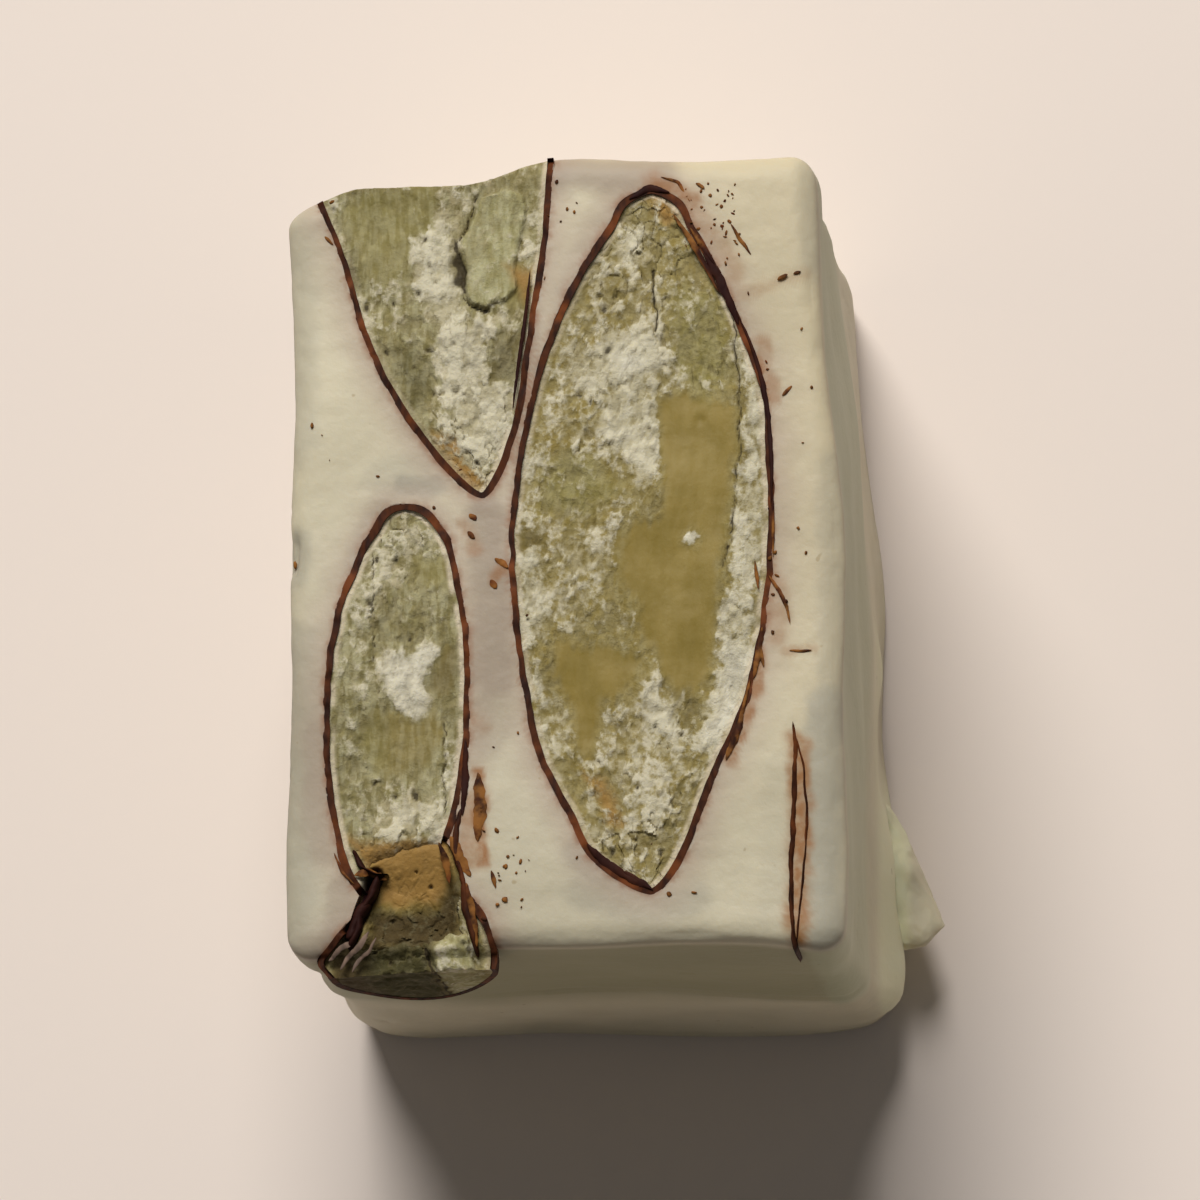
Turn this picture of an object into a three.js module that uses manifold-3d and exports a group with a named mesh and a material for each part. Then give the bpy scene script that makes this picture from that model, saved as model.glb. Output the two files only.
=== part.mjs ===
// A cut piece of white almond nougat. It stands on one cut side, and the opposite cut side faces up
// and shows four sliced almonds and the edge of a fifth one's skin.
// Millimetres. X runs through the slab from one smooth side to the other, Y along the piece, Z up.
// The origin is the middle of the flat side that the piece stands on.

import * as THREE from "three";
import { mergeVertices } from "three/addons/utils/BufferGeometryUtils.js";
import { ImprovedNoise } from "three/addons/math/ImprovedNoise.js";
import Module from "manifold-3d";

const wasm = await Module();
wasm.setup();
const { clamp, degToRad, lerp, smoothstep } = THREE.MathUtils;

// The block of nougat
const SLAB_THICKNESS = 18.95;
const PIECE_LENGTH = 27.7;
const PIECE_HEIGHT = 25;
const HALF = { x: SLAB_THICKNESS / 2, y: PIECE_LENGTH / 2, z: PIECE_HEIGHT / 2 };
const EDGE_RADII = { x: 0.9, y: 0.9, z: 0.55 }; // the knife's edges are crisper than the corner edges
const EDGE_STEPS = 2; // grid steps across each half of a rounded edge
const GRID_STEP = 1.7; // of the flatter parts of the faces

// How the soft walls depart from a true box
const BACK_TAPER = 1.1; // the right wall draws in towards the back
const BACK_SLANT = 0.95; // the back wall falls away on the left, most of all at the top
const BACK_SLANT_FROM = -3.6; // left of here it has its whole slant, and right of the middle none
const BACK_CORNER_SLANT = 0.8; // more of it at the back left corner
const BACK_CORNER_WIDTH = 2.5;
const BACK_SLANT_AT_BASE = 0.4; // share of both at the base
const FRONT_HOLLOW = 0.45; // the knife left the front wall slightly hollow
const FOOT_ROUNDING = 0.9; // the front corners are rounder at the foot
const WALL_SWELL = 0.13;
const CUT_FACE_SWELL = 0.12;
const SWELL_SIZE = 1.9; // millimetres for each radian of a swell

// The lip that a neighbouring piece left along the foot of the right wall
const LIP_REACH = 0.6;
const LIP_TOP = 8.5;
const LIP_FULL = 3.5; // below this height the lip has its whole reach
const LIP_FADE_FROM = -9; // it fades from here to its back end
const LIP_BACK_END = -2;
const LIP_RAGGEDNESS = 0.35;
const LIP_RAG_SIZE = 0.9; // millimetres for each radian

// The flap that tore out of the neighbour and hangs on that lip, with its outline as seen from above
const FLAP_ROOT_X = 8.4;
const FLAP_BACK = -3.8;
const FLAP_BACK_BEND = [9.8, -4.4];
const FLAP_SHOULDER = [11, -8.1];
const FLAP_TIP = [11.9, -10];
const FLAP_TIP_FRONT = [11.15, -10.75];
const FLAP_FRONT_BEND = [9.9, -10.6];
const FLAP_FRONT = -11;
const FLAP_LOW = 1.1;
const FLAP_THICKNESS = 2.6;
const FLAP_THINNING = 0.6; // share of its thickness that is gone at the tip
const FLAP_RISE = 1;
const FLAP_BEVEL = 0.35;
const FLAP_WAVE = 0.2;
const FLAP_WAVE_SIZE = 0.6; // millimetres for each radian

// The almonds. centre is on the cut face, turn is clockwise seen from above. fullness shapes the outline:
// half the width follows (1 - t * t) ** fullness along the almond, so 0.5 is an oval and 0.8 is pointed.
// recess, crag and hollow are how deep the broken kernel lies, how rough it is and how far it is dug out.
const ALMONDS = [
  {
    name: "almond_large",
    centre: [2.62, 0.5],
    halfLength: 11.95,
    halfWidth: 4.22,
    depth: 6.3,
    fullness: 0.78,
    turn: 1.7,
    recess: 0.1,
    crag: 0.35,
    hollow: 0,
  },
  {
    name: "almond_back",
    centre: [-4.95, 14.6],
    halfLength: 12.5,
    halfWidth: 3.75,
    depth: 5.4,
    fullness: 0.82,
    turn: -9.5,
    recess: 0.22,
    crag: 0.4,
    hollow: 0,
  },
  {
    name: "almond_small",
    centre: [-5.75, -5],
    halfLength: 6.85,
    halfWidth: 2.2,
    depth: 3.2,
    fullness: 0.45,
    turn: 2.2,
    recess: 0.1,
    crag: 0.3,
    hollow: 0,
  },
  {
    name: "almond_front",
    centre: [-5.1, -13.9],
    halfLength: 2.6,
    halfWidth: 2.7,
    depth: 7,
    fullness: 0.5,
    turn: 0,
    recess: 0.25,
    crag: 0.5,
    hollow: 1.1,
  },
];
const CRAG_SIZE = 1.5; // the usual distance between crags
const FRONT_PROUD = 0.7; // how far the broken almond stands out of the front wall
const POCKET_GAP = 0.28; // room for the brown skin between an almond and the nougat
const LID_HEIGHT = 1.2; // how far a cutter stands out of the cut face
const LID_CROWN = 0.15; // share of half a lid's width that its steep edge takes

// The edge of the fifth almond's skin, a thin wavy leaf that runs down into the nougat
const SKIN_X = 7.8;
const SKIN_FRONT = -13.1;
const SKIN_BACK = -5.8;
const SKIN_THICKNESS = 0.5;
const SKIN_DEPTH = 3.2;
const SKIN_WAVE = 0.3;
const SKIN_TAPER = 0.35; // share of its thickness that the leaf loses towards the back
const SKIN_STEPS = 9;
const SKIN_RECESS = 0.05;

const NOUGAT = new THREE.MeshStandardMaterial({ color: 0xdccfb0, roughness: 0.6, metalness: 0 });
const KERNEL = new THREE.MeshStandardMaterial({ color: 0xb8ab7c, roughness: 0.75, metalness: 0 });
const BROWN_SKIN = new THREE.MeshStandardMaterial({ color: 0x5d3318, roughness: 0.8, metalness: 0 });

// A smooth unevenness between -1 and 1, of two crossed waves.
const swell = (a, b, size) => (Math.sin((a + 0.6 * b) / size) + Math.sin((1.3 * b - 0.5 * a) / size + 2)) / 2;

// Keeps only the positions, shares equal vertices, and moves every vertex by place(vertex).
function reshaped(geometry, place = () => {}) {
  geometry.deleteAttribute("normal");
  geometry.deleteAttribute("uv");
  const merged = mergeVertices(geometry);
  const position = merged.attributes.position;
  const vertex = new THREE.Vector3();
  for (let i = 0; i < position.count; i++) {
    vertex.fromBufferAttribute(position, i);
    place(vertex);
    position.setXYZ(i, vertex.x, vertex.y, vertex.z);
  }
  return merged;
}

function solidFrom(geometry) {
  const vertProperties = new Float32Array(geometry.attributes.position.array);
  const triVerts = new Uint32Array(geometry.index.array);
  return new wasm.Manifold(new wasm.Mesh({ numProp: 3, vertProperties, triVerts }));
}

function geometryFrom(solid) {
  const { numProp, vertProperties, triVerts } = solid.getMesh();
  const geometry = new THREE.BufferGeometry();
  const interleaved = new THREE.InterleavedBuffer(vertProperties, numProp);
  geometry.setAttribute("position", new THREE.InterleavedBufferAttribute(interleaved, 3, 0));
  geometry.setIndex(new THREE.BufferAttribute(triVerts, 1));
  const faceted = geometry.toNonIndexed();
  faceted.computeVertexNormals();
  return faceted;
}

// Where grid line u, from -1 to 1, of a wall lies: EDGE_STEPS lines crowd into each rounded edge.
function gridLine(u, steps, half, radius) {
  const line = ((u + 1) / 2) * steps;
  if (line <= EDGE_STEPS) return -half + (radius * line) / EDGE_STEPS;
  if (line >= steps - EDGE_STEPS) return half - (radius * (steps - line)) / EDGE_STEPS;
  return lerp(radius - half, half - radius, (line - EDGE_STEPS) / (steps - 2 * EDGE_STEPS));
}

function roundEdges(vertex) {
  const outward = new THREE.Vector3();
  for (const axis of ["x", "y", "z"]) {
    const reach = HALF[axis] - EDGE_RADII[axis];
    const core = clamp(vertex[axis], -reach, reach);
    outward[axis] = (vertex[axis] - core) / EDGE_RADII[axis];
    vertex[axis] = core;
  }
  outward.normalize();
  for (const axis of ["x", "y", "z"]) vertex[axis] += outward[axis] * EDGE_RADII[axis];
}

// The walls as the knife and the neighbouring pieces left them. The base stays flat.
function settleWalls(vertex) {
  const { x, y, z } = vertex;
  const height = clamp(z / PIECE_HEIGHT, 0, 1);
  const toRight = clamp(x / HALF.x, -1, 1);
  const toBack = clamp(y / HALF.y, -1, 1);

  vertex.x += WALL_SWELL * swell(y, z, SWELL_SIZE) * toRight;
  if (toRight > 0) {
    const fade = (1 - smoothstep(z, LIP_FULL, LIP_TOP)) * (1 - smoothstep(y, LIP_FADE_FROM, LIP_BACK_END));
    const lip = LIP_REACH * fade;
    vertex.x += lip * (1 + LIP_RAGGEDNESS * swell(y, z, LIP_RAG_SIZE)) * toRight ** 6;
    vertex.x -= BACK_TAPER * toRight * smoothstep(y, 0, HALF.y + 2);
  }

  vertex.y += WALL_SWELL * swell(x, z, SWELL_SIZE) * toBack;
  if (toBack > 0) {
    const atLeft = BACK_SLANT * (1 - smoothstep(x, BACK_SLANT_FROM, 0));
    const atCorner = BACK_CORNER_SLANT * (1 - smoothstep(x, -HALF.x, BACK_CORNER_WIDTH - HALF.x));
    vertex.y -= (atLeft + atCorner) * toBack ** 2 * lerp(BACK_SLANT_AT_BASE, 1, height);
  } else {
    vertex.y += FRONT_HOLLOW * toBack ** 2 * (1 - toRight ** 2);
    vertex.y += FOOT_ROUNDING * toBack ** 2 * toRight ** 6 * (1 - height) ** 1.5;
  }

  vertex.z += CUT_FACE_SWELL * swell(x, y, SWELL_SIZE) * smoothstep(height, 0.6, 1);
}

function blockGeometry() {
  const steps = {};
  for (const axis of ["x", "y", "z"]) {
    steps[axis] = 2 * EDGE_STEPS + Math.round((2 * (HALF[axis] - EDGE_RADII[axis])) / GRID_STEP);
  }
  const box = new THREE.BoxGeometry(2, 2, 2, steps.x, steps.y, steps.z);
  return reshaped(box, (vertex) => {
    for (const axis of ["x", "y", "z"]) {
      vertex[axis] = gridLine(vertex[axis], steps[axis], HALF[axis], EDGE_RADII[axis]);
    }
    roundEdges(vertex);
    vertex.z += HALF.z;
    settleWalls(vertex);
  });
}

// The torn flap: a beak of nougat that grows thinner and rises towards its tip.
function flapGeometry() {
  const beak = new THREE.Shape();
  beak.moveTo(FLAP_ROOT_X, FLAP_BACK);
  beak.quadraticCurveTo(...FLAP_BACK_BEND, ...FLAP_SHOULDER);
  beak.lineTo(...FLAP_TIP);
  beak.lineTo(...FLAP_TIP_FRONT);
  beak.quadraticCurveTo(...FLAP_FRONT_BEND, FLAP_ROOT_X, FLAP_FRONT);
  beak.closePath();
  const extruded = new THREE.ExtrudeGeometry(beak, {
    depth: FLAP_THICKNESS - 2 * FLAP_BEVEL,
    steps: 2,
    curveSegments: 5,
    bevelSize: FLAP_BEVEL,
    bevelThickness: FLAP_BEVEL,
    bevelOffset: -FLAP_BEVEL,
    bevelSegments: 2,
  });
  return reshaped(extruded, (vertex) => {
    const reach = smoothstep(vertex.x, FLAP_ROOT_X, FLAP_TIP[0]);
    vertex.z = FLAP_LOW + FLAP_BEVEL + vertex.z * (1 - FLAP_THINNING * reach) + FLAP_RISE * reach;
    vertex.z += FLAP_WAVE * reach * swell(vertex.x, vertex.y, FLAP_WAVE_SIZE);
  });
}

// The upper surface of a broken kernel, from the cut face. rim is 0 at the middle and 1 at the brown skin.
const noise = new ImprovedNoise();
function kernelRelief({ recess, crag, hollow, halfLength, depth }, x, y, rim) {
  const lumps = noise.noise(x / CRAG_SIZE, y / CRAG_SIZE, depth);
  const ridges = 0.3 - Math.abs(noise.noise((2 * x) / CRAG_SIZE, (2 * y) / CRAG_SIZE, depth + 5));
  const dug = hollow * smoothstep(-y, -halfLength, 0.6 * halfLength) * (1 - rim ** 4);
  return crag * (lumps + ridges) * (1 - rim ** 3) - recess - dug;
}

// An almond cut in half lengthways, from a sphere with its poles at the almond's tips: the lower half is
// drawn out to the almond's belly, and the upper half is pressed into the cut face. As a cutter it is larger
// by grow, and its upper half stands proud as a lid.
function almondGeometry(almond, grow = 0) {
  const around = 2 * Math.round(5 + 1.3 * almond.halfWidth);
  const rings = Math.round(10 + 2.4 * almond.halfLength);
  const halfLength = almond.halfLength + 1.5 * grow;
  const geometry = reshaped(new THREE.SphereGeometry(1, around, rings), (vertex) => {
    const along = clamp(vertex.y, -1, 1);
    const stoutness = (1 - along ** 2) ** almond.fullness;
    const halfWidth = (almond.halfWidth + grow) * stoutness;
    const angle = Math.atan2(Math.abs(vertex.z), vertex.x);
    const across = 1 - (2 * angle) / Math.PI;
    const isUpper = vertex.z > 1e-4;
    const y = halfLength * along;
    if (!isUpper) {
      const belly = (almond.depth + grow) * stoutness * Math.sin(angle);
      vertex.set(halfWidth * Math.cos(angle), y, -almond.recess - belly);
    } else if (grow > 0) {
      const x = halfWidth * clamp(across / (1 - LID_CROWN), -1, 1);
      vertex.set(x, y, LID_HEIGHT * Math.min(1, (1 - Math.abs(across)) / LID_CROWN));
    } else {
      const x = halfWidth * across;
      vertex.set(x, y, kernelRelief(almond, x, y, Math.max(Math.abs(across), along ** 6)));
    }
  });
  geometry.rotateZ(-degToRad(almond.turn));
  return geometry.translate(almond.centre[0], almond.centre[1], PIECE_HEIGHT);
}

// A strip that follows the skin's wave from front to back. As a cutter it is larger by grow all round.
function skinGeometry(grow = 0) {
  const alongs = Array.from({ length: SKIN_STEPS + 1 }, (_, step) => step / SKIN_STEPS);
  const edgePoint = (share, side) => {
    const centreLine = SKIN_X + SKIN_WAVE * Math.sin(2.4 * Math.PI * share - 0.8) * (1 - share / 2);
    const half = (SKIN_THICKNESS / 2 + grow) * (1 - SKIN_TAPER * share);
    return new THREE.Vector2(centreLine + side * half, lerp(SKIN_FRONT - grow, SKIN_BACK + grow, share));
  };
  const leftEdge = alongs.map((share) => edgePoint(share, -1));
  const rightEdge = alongs.map((share) => edgePoint(share, 1));
  const strip = new THREE.Shape([...leftEdge, ...rightEdge.reverse()]);
  const top = grow > 0 ? LID_HEIGHT : -SKIN_RECESS;
  const bottom = -SKIN_DEPTH - grow;
  const leaf = new THREE.ExtrudeGeometry(strip, { depth: top - bottom, steps: 1, bevelEnabled: false });
  return reshaped(leaf.translate(0, 0, PIECE_HEIGHT + bottom));
}

const block = solidFrom(blockGeometry());
const pocketOf = (almond) => [almond.name, solidFrom(almondGeometry(almond, POCKET_GAP))];
const pockets = new Map(ALMONDS.map(pocketOf));

function nougatSolid() {
  let nougat = block.add(solidFrom(flapGeometry()));
  for (const pocket of pockets.values()) nougat = nougat.subtract(pocket);
  return nougat.subtract(solidFrom(skinGeometry(POCKET_GAP)));
}

// Each almond ends where the knife ended it. Only the walls of the raised block trim it, not its cut face.
function almondSolid(almond) {
  const whole = solidFrom(almondGeometry(almond));
  if (almond.name === "almond_back") return whole.intersect(block.translate([0, 0, 1]));
  if (almond.name === "almond_front") return whole.intersect(block.translate([0, -FRONT_PROUD, 1]));
  if (almond.name === "almond_small") return whole.subtract(pockets.get("almond_front"));
  return whole;
}

function mesh(name, solid, material) {
  const made = new THREE.Mesh(geometryFrom(solid), material);
  made.name = name;
  return made;
}

const piece = new THREE.Group();
piece.name = "almond_nougat";
piece.add(mesh("nougat_block", nougatSolid(), NOUGAT));
for (const almond of ALMONDS) piece.add(mesh(almond.name, almondSolid(almond), KERNEL));
piece.add(mesh("skin_edge", solidFrom(skinGeometry()), BROWN_SKIN));

export default piece;
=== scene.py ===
# %% [markdown]
# # A cut piece of almond nougat
# The piece stands on one of its cut sides, and the opposite cut side faces up. It shows four sliced almonds
# in their brown skins and the edge of a fifth one's skin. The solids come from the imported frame. This
# script makes the fine surface of each one: new meshes worked out with numpy, and materials made of nodes.

import itertools
import math

import bmesh
import bpy
import numpy as np
from mathutils import Matrix, Vector


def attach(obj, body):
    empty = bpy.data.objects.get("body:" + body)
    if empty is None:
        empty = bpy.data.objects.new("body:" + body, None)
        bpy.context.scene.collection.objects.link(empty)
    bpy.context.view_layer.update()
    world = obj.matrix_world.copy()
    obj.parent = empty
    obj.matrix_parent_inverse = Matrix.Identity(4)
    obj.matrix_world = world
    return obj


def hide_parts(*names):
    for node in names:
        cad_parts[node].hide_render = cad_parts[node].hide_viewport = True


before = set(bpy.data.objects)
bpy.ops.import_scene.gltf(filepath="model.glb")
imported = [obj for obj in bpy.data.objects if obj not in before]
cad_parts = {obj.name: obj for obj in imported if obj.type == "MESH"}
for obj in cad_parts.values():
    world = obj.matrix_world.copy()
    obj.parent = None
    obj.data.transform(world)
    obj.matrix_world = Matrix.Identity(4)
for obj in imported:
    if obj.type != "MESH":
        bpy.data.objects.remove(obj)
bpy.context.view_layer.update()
print("solids:", sorted(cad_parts))

# %% [markdown]
# ## Measures
# Everything is worked out in millimetres, in the frame of the solids: X runs through the slab, Y along the
# piece, Z up, and the origin is the middle of the flat side that the piece stands on. A mesh is turned into
# metres only when it is made. The first measures repeat those of the solids, because a new surface has to
# lie on the old one.

# %% Measures shared with the solids
MM = 0.001
HALF = np.array([9.475, 13.85, 12.5])
HEIGHT = 25.0
EDGE_RADII = np.array([0.9, 0.9, 0.55])
SWELL_SIZE = 1.9
WALL_SWELL = 0.13
CUT_FACE_SWELL = 0.12


def smoothstep(value, low, high):
    """0 below low, 1 above high, and an S-shaped way between."""
    share = np.clip((value - low) / (high - low), 0, 1)
    return share * share * (3 - 2 * share)


def lerp(first, second, share):
    """The point that lies share of the way from first to second."""
    return first + (second - first) * share


def swell(a, b, size):
    """A smooth unevenness between -1 and 1: the mean of two crossed sine waves."""
    return (np.sin((a + 0.6 * b) / size) + np.sin((1.3 * b - 0.5 * a) / size + 2)) / 2


print("cut face:", 2 * HALF[0], "by", 2 * HALF[1], "mm, at height", HEIGHT)

# %% [markdown]
# ## Noise
# Broken almonds and torn nougat are uneven without any rule. A sculptor would do this by hand. Here three
# kinds of noise give it, each a function of a point in space, so that neighbouring pieces can share one
# unevenness: smooth noise, the same in octaves, and a scatter of points whose nearest distance gives pits,
# crumbs and flakes.


# %% Noise in space
def smooth_noise(points, size, seed):
    """Between about -1 and 1: each corner of a grid of cubes has a random slope, which fades to the next."""
    period = 32
    slopes = np.random.default_rng(seed).normal(size=(period, period, period, 3))
    slopes /= np.linalg.norm(slopes, axis=-1, keepdims=True)
    place = np.asarray(points, float) / size + 7.31
    cube = np.floor(place).astype(int)
    within = place - cube
    fade = within**3 * (within * (within * 6 - 15) + 10)
    total = 0
    for corner in itertools.product((0, 1), repeat=3):
        i, j, k = np.moveaxis((cube + corner) % period, -1, 0)
        weight = np.prod(np.where(np.array(corner) == 1, fade, 1 - fade), axis=-1)
        total = total + weight * np.sum(slopes[i, j, k] * (within - corner), axis=-1)
    return total * 1.6


def rough_noise(points, size, seed, octaves=3):
    """Smooth noise with finer noise of half the size and half the strength added, octave by octave."""
    parts = (smooth_noise(points, size / 2**o, seed + o) / 2**o for o in range(octaves))
    return sum(parts) / (2 - 2 ** (1 - octaves))


def scatter(points, size, seed):
    """One random point in each cube of a grid. Gives the distances to the nearest two of them, and three
    random numbers that belong to the nearest one."""
    period = 32
    random = np.random.default_rng(seed).random((period, period, period, 6))
    place = np.asarray(points, float) / size
    cube = np.floor(place).astype(int)
    nearest = np.full(place.shape[:-1], 9.0)
    second = nearest.copy()
    chosen = np.zeros(place.shape[:-1] + (3,))
    for step in itertools.product((-1, 0, 1), repeat=3):
        i, j, k = np.moveaxis((cube + step) % period, -1, 0)
        gap = np.linalg.norm(cube + step + random[i, j, k, :3] - place, axis=-1)
        closer = gap < nearest
        second = np.where(closer, nearest, np.minimum(second, gap))
        chosen = np.where(closer[..., None], random[i, j, k, 3:], chosen)
        nearest = np.minimum(nearest, gap)
    return nearest * size, second * size, chosen


sample = smooth_noise(np.random.default_rng(1).random((4000, 3)) * 40, 1.5, 3)
print("smooth noise runs from", sample.min().round(2), "to", sample.max().round(2))

# %% [markdown]
# ## From grids to meshes
# A grid of points is a surface as soon as each four neighbours make a face. Every piece here is one grid or
# a few that meet at their edges. Merging the points that coincide closes the seams and the poles, and then
# the faces are turned outwards. A count of the edges without two faces tells whether a mesh is really
# closed.


# %% Mesh helpers
def join_grids(grids):
    """Stacks grids of rows x columns x 3 into one list of points and one list of four-sided faces."""
    points = []
    faces = []
    start = 0
    for grid in grids:
        rows, columns = grid.shape[:2]
        index = start + np.arange(rows * columns).reshape(rows, columns)
        corners = (index[:-1, :-1], index[:-1, 1:], index[1:, 1:], index[1:, :-1])
        faces.append(np.stack(corners, axis=-1).reshape(-1, 4))
        points.append(grid.reshape(-1, 3))
        start += rows * columns
    return np.concatenate(points), np.concatenate(faces)


def make_piece(name, grids, weld=1e-4):
    """An object at the origin from grids in millimetres, with equal points merged and faces outwards."""
    points, faces = join_grids(grids)
    mesh = bpy.data.meshes.new(name)
    mesh.from_pydata(points * MM, [], faces)
    shape = bmesh.new()
    shape.from_mesh(mesh)
    bmesh.ops.remove_doubles(shape, verts=shape.verts, dist=weld * MM)
    bmesh.ops.recalc_face_normals(shape, faces=shape.faces)
    open_edges = sum(len(edge.link_faces) != 2 for edge in shape.edges)
    if shape.calc_volume(signed=True) < 0:
        bmesh.ops.reverse_faces(shape, faces=shape.faces)
    shape.to_mesh(mesh)
    shape.free()
    piece = bpy.data.objects.new(name, mesh)
    bpy.context.scene.collection.objects.link(piece)
    print(name, len(mesh.polygons), "faces,", open_edges, "open edges")
    return piece


def points_of(piece):
    """The vertices of a piece as an array in millimetres."""
    flat = np.empty(3 * len(piece.data.vertices), np.float32)
    piece.data.vertices.foreach_get("co", flat)
    return flat.reshape(-1, 3).astype(float) / MM


def give_values(piece, **fields):
    """Stores one number for each vertex under each name, for the piece's material to read."""
    for name, values in fields.items():
        attribute = piece.data.attributes.new(name, "FLOAT", "POINT")
        attribute.data.foreach_set("value", np.asarray(values, np.float32).ravel())


def combine(piece, others, operation):
    """Joins the other pieces to piece, or cuts them out of it, and deletes them."""
    for other in others:
        step = piece.modifiers.new(other.name, "BOOLEAN")
        step.operation = operation
        step.solver = "MANIFOLD"
        step.object = other
    shaped = piece.evaluated_get(bpy.context.evaluated_depsgraph_get())
    result = bpy.data.meshes.new_from_object(shaped)
    piece.modifiers.clear()
    piece.data = result
    for other in others:
        bpy.data.objects.remove(other)


def shade(piece, degrees=48):
    """Smooth shading with an edge kept sharp where its faces turn by more than the given angle."""
    piece.data.shade_smooth()
    piece.data.set_sharp_from_angle(angle=math.radians(degrees))


# %% [markdown]
# ## The block of nougat
# The confectioner cuts a slab with a knife while it is still soft. Two sides of the piece are the slab's
# smooth skins, the other four are cuts, and the soft corners round off by themselves. All of it is one
# sheet: it starts at a pole in the cut face, runs out to the edge, down the wall and in under the base. One
# parameter goes round the piece, the other from pole to pole. The first pole lies in the large almond's
# pocket, which is cut out later.

# %% The block's form
BLOCK_POLE = np.array([2.62, 0.5])
SPOKES = 460
BACK_TAPER = 1.1
BACK_SLANT = 0.95
BACK_SLANT_FROM = -3.6
BACK_CORNER_SLANT = 0.8
BACK_CORNER_WIDTH = 2.5
BACK_SLANT_AT_BASE = 0.4
FRONT_HOLLOW = 0.45
FOOT_ROUNDING = 0.9
LIP_REACH = 0.6
LIP_TOP = 8.5
LIP_FULL = 3.5
LIP_FADE_FROM = -9
LIP_BACK_END = -2
LIP_RAGGEDNESS = 0.35
LIP_RAG_SIZE = 0.9
CUT_FACE_RINGS = 72
WALL_RINGS = 64
EDGE_RINGS = 6
BASE_RINGS = 7


def spaced(corners, count, endpoint=True):
    """Points spaced evenly along a line of corners."""
    corners = np.array(corners, float)
    ends = np.concatenate([[0], np.cumsum(np.linalg.norm(np.diff(corners, axis=0), axis=1))])
    way = np.linspace(0, ends[-1], count, endpoint=endpoint)
    return np.stack([np.interp(way, ends, corners[:, axis]) for axis in (0, 1)], axis=-1)


def sharp_block():
    """The sheet on a block with sharp edges: rings shrink towards the pole above and below, and lie level on
    the walls. Rings crowd together at the cut face's edge, which the light shows most."""
    x, y = HALF[:2]
    outline = spaced([[x, -y], [x, y], [-x, y], [-x, -y], [x, -y]], SPOKES + 1)
    out = np.linspace(0, 1, CUT_FACE_RINGS)
    out = out * (1.38 - 0.38 * out)
    edge = EDGE_RADII[2]
    levels = np.concatenate([
        np.linspace(0, edge, EDGE_RINGS),
        np.linspace(edge, HEIGHT - edge, WALL_RINGS)[1:],
        np.linspace(HEIGHT - edge, HEIGHT, EDGE_RINGS)[1:],
    ])
    shares = np.concatenate([out, np.ones(len(levels) - 1), np.linspace(1, 0, BASE_RINGS)[1:]])
    heights = np.concatenate([np.full(len(out), HEIGHT), HEIGHT - levels[1:], np.zeros(BASE_RINGS - 1)])
    flat = BLOCK_POLE + (outline - BLOCK_POLE) * shares[:, None, None]
    return np.concatenate([flat, np.broadcast_to(heights[:, None, None], flat.shape[:2] + (1,))], axis=-1)


def round_edges(place):
    """Each point keeps to a smaller core block and is pushed out from there by the edge radii, in the
    direction in which it lay. That direction is also the outward one."""
    middle = np.array([0, 0, HALF[2]])
    core = np.clip(place - middle, EDGE_RADII - HALF, HALF - EDGE_RADII)
    outward = (place - middle - core) / EDGE_RADII
    outward /= np.linalg.norm(outward, axis=-1, keepdims=True)
    return core + outward * EDGE_RADII + middle, outward


def back_and_front(x, to_right, to_back, height):
    """How far the back wall leans in, most at the top left, and how far the front wall is hollow."""
    at_left = BACK_SLANT * (1 - smoothstep(x, BACK_SLANT_FROM, 0))
    at_corner = BACK_CORNER_SLANT * (1 - smoothstep(x, -HALF[0], BACK_CORNER_WIDTH - HALF[0]))
    back = -(at_left + at_corner) * to_back**2 * lerp(BACK_SLANT_AT_BASE, 1, height)
    front = FRONT_HOLLOW * to_back**2 * (1 - to_right**2)
    front = front + FOOT_ROUNDING * to_back**2 * to_right**6 * (1 - height) ** 1.5
    return np.where(to_back > 0, back, front)


def settle_walls(place):
    """The same departures from a true block as in the solid: swells, the lip along the foot of the right
    wall, the taper towards the back, and the leaning back and front walls."""
    x, y, z = np.moveaxis(place, -1, 0)
    height = np.clip(z / HEIGHT, 0, 1)
    to_right = np.clip(x / HALF[0], -1, 1)
    to_back = np.clip(y / HALF[1], -1, 1)
    lip = LIP_REACH * (1 - smoothstep(z, LIP_FULL, LIP_TOP))
    lip = lip * (1 - smoothstep(y, LIP_FADE_FROM, LIP_BACK_END))
    right = lip * (1 + LIP_RAGGEDNESS * swell(y, z, LIP_RAG_SIZE)) * to_right**6
    right = right - BACK_TAPER * to_right * smoothstep(y, 0, HALF[1] + 2)
    new_x = x + WALL_SWELL * swell(y, z, SWELL_SIZE) * to_right + np.where(to_right > 0, right, 0)
    new_y = y + WALL_SWELL * swell(x, z, SWELL_SIZE) * to_back + back_and_front(x, to_right, to_back, height)
    new_z = z + CUT_FACE_SWELL * swell(x, y, SWELL_SIZE) * smoothstep(height, 0.6, 1)
    return np.stack([new_x, new_y, new_z], axis=-1)


# %% [markdown]
# The fine relief lies on top of that form, along the outward direction: slow dents where fingers and
# neighbours pressed the soft walls, small lumps, a few pits and creases, the drag of the knife across the
# cut face, and the crease along the middle of the front wall. It fades out at the base, so the piece stands
# flat.

# %% The block's relief
# place, size and depth in millimetres; the last one is a bump
CHIPS = (
    (-9.5, 0.4, 24.9, 0.4, 0.3), (-9.4, -0.2, 24.7, 0.4, 0.2), (9.3, -13.6, 24.8, 0.5, 0.1),
    (9.4, -1.0, 5.0, 1.3, -0.25),
)
FRONT_CREASE = 12.3


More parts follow.
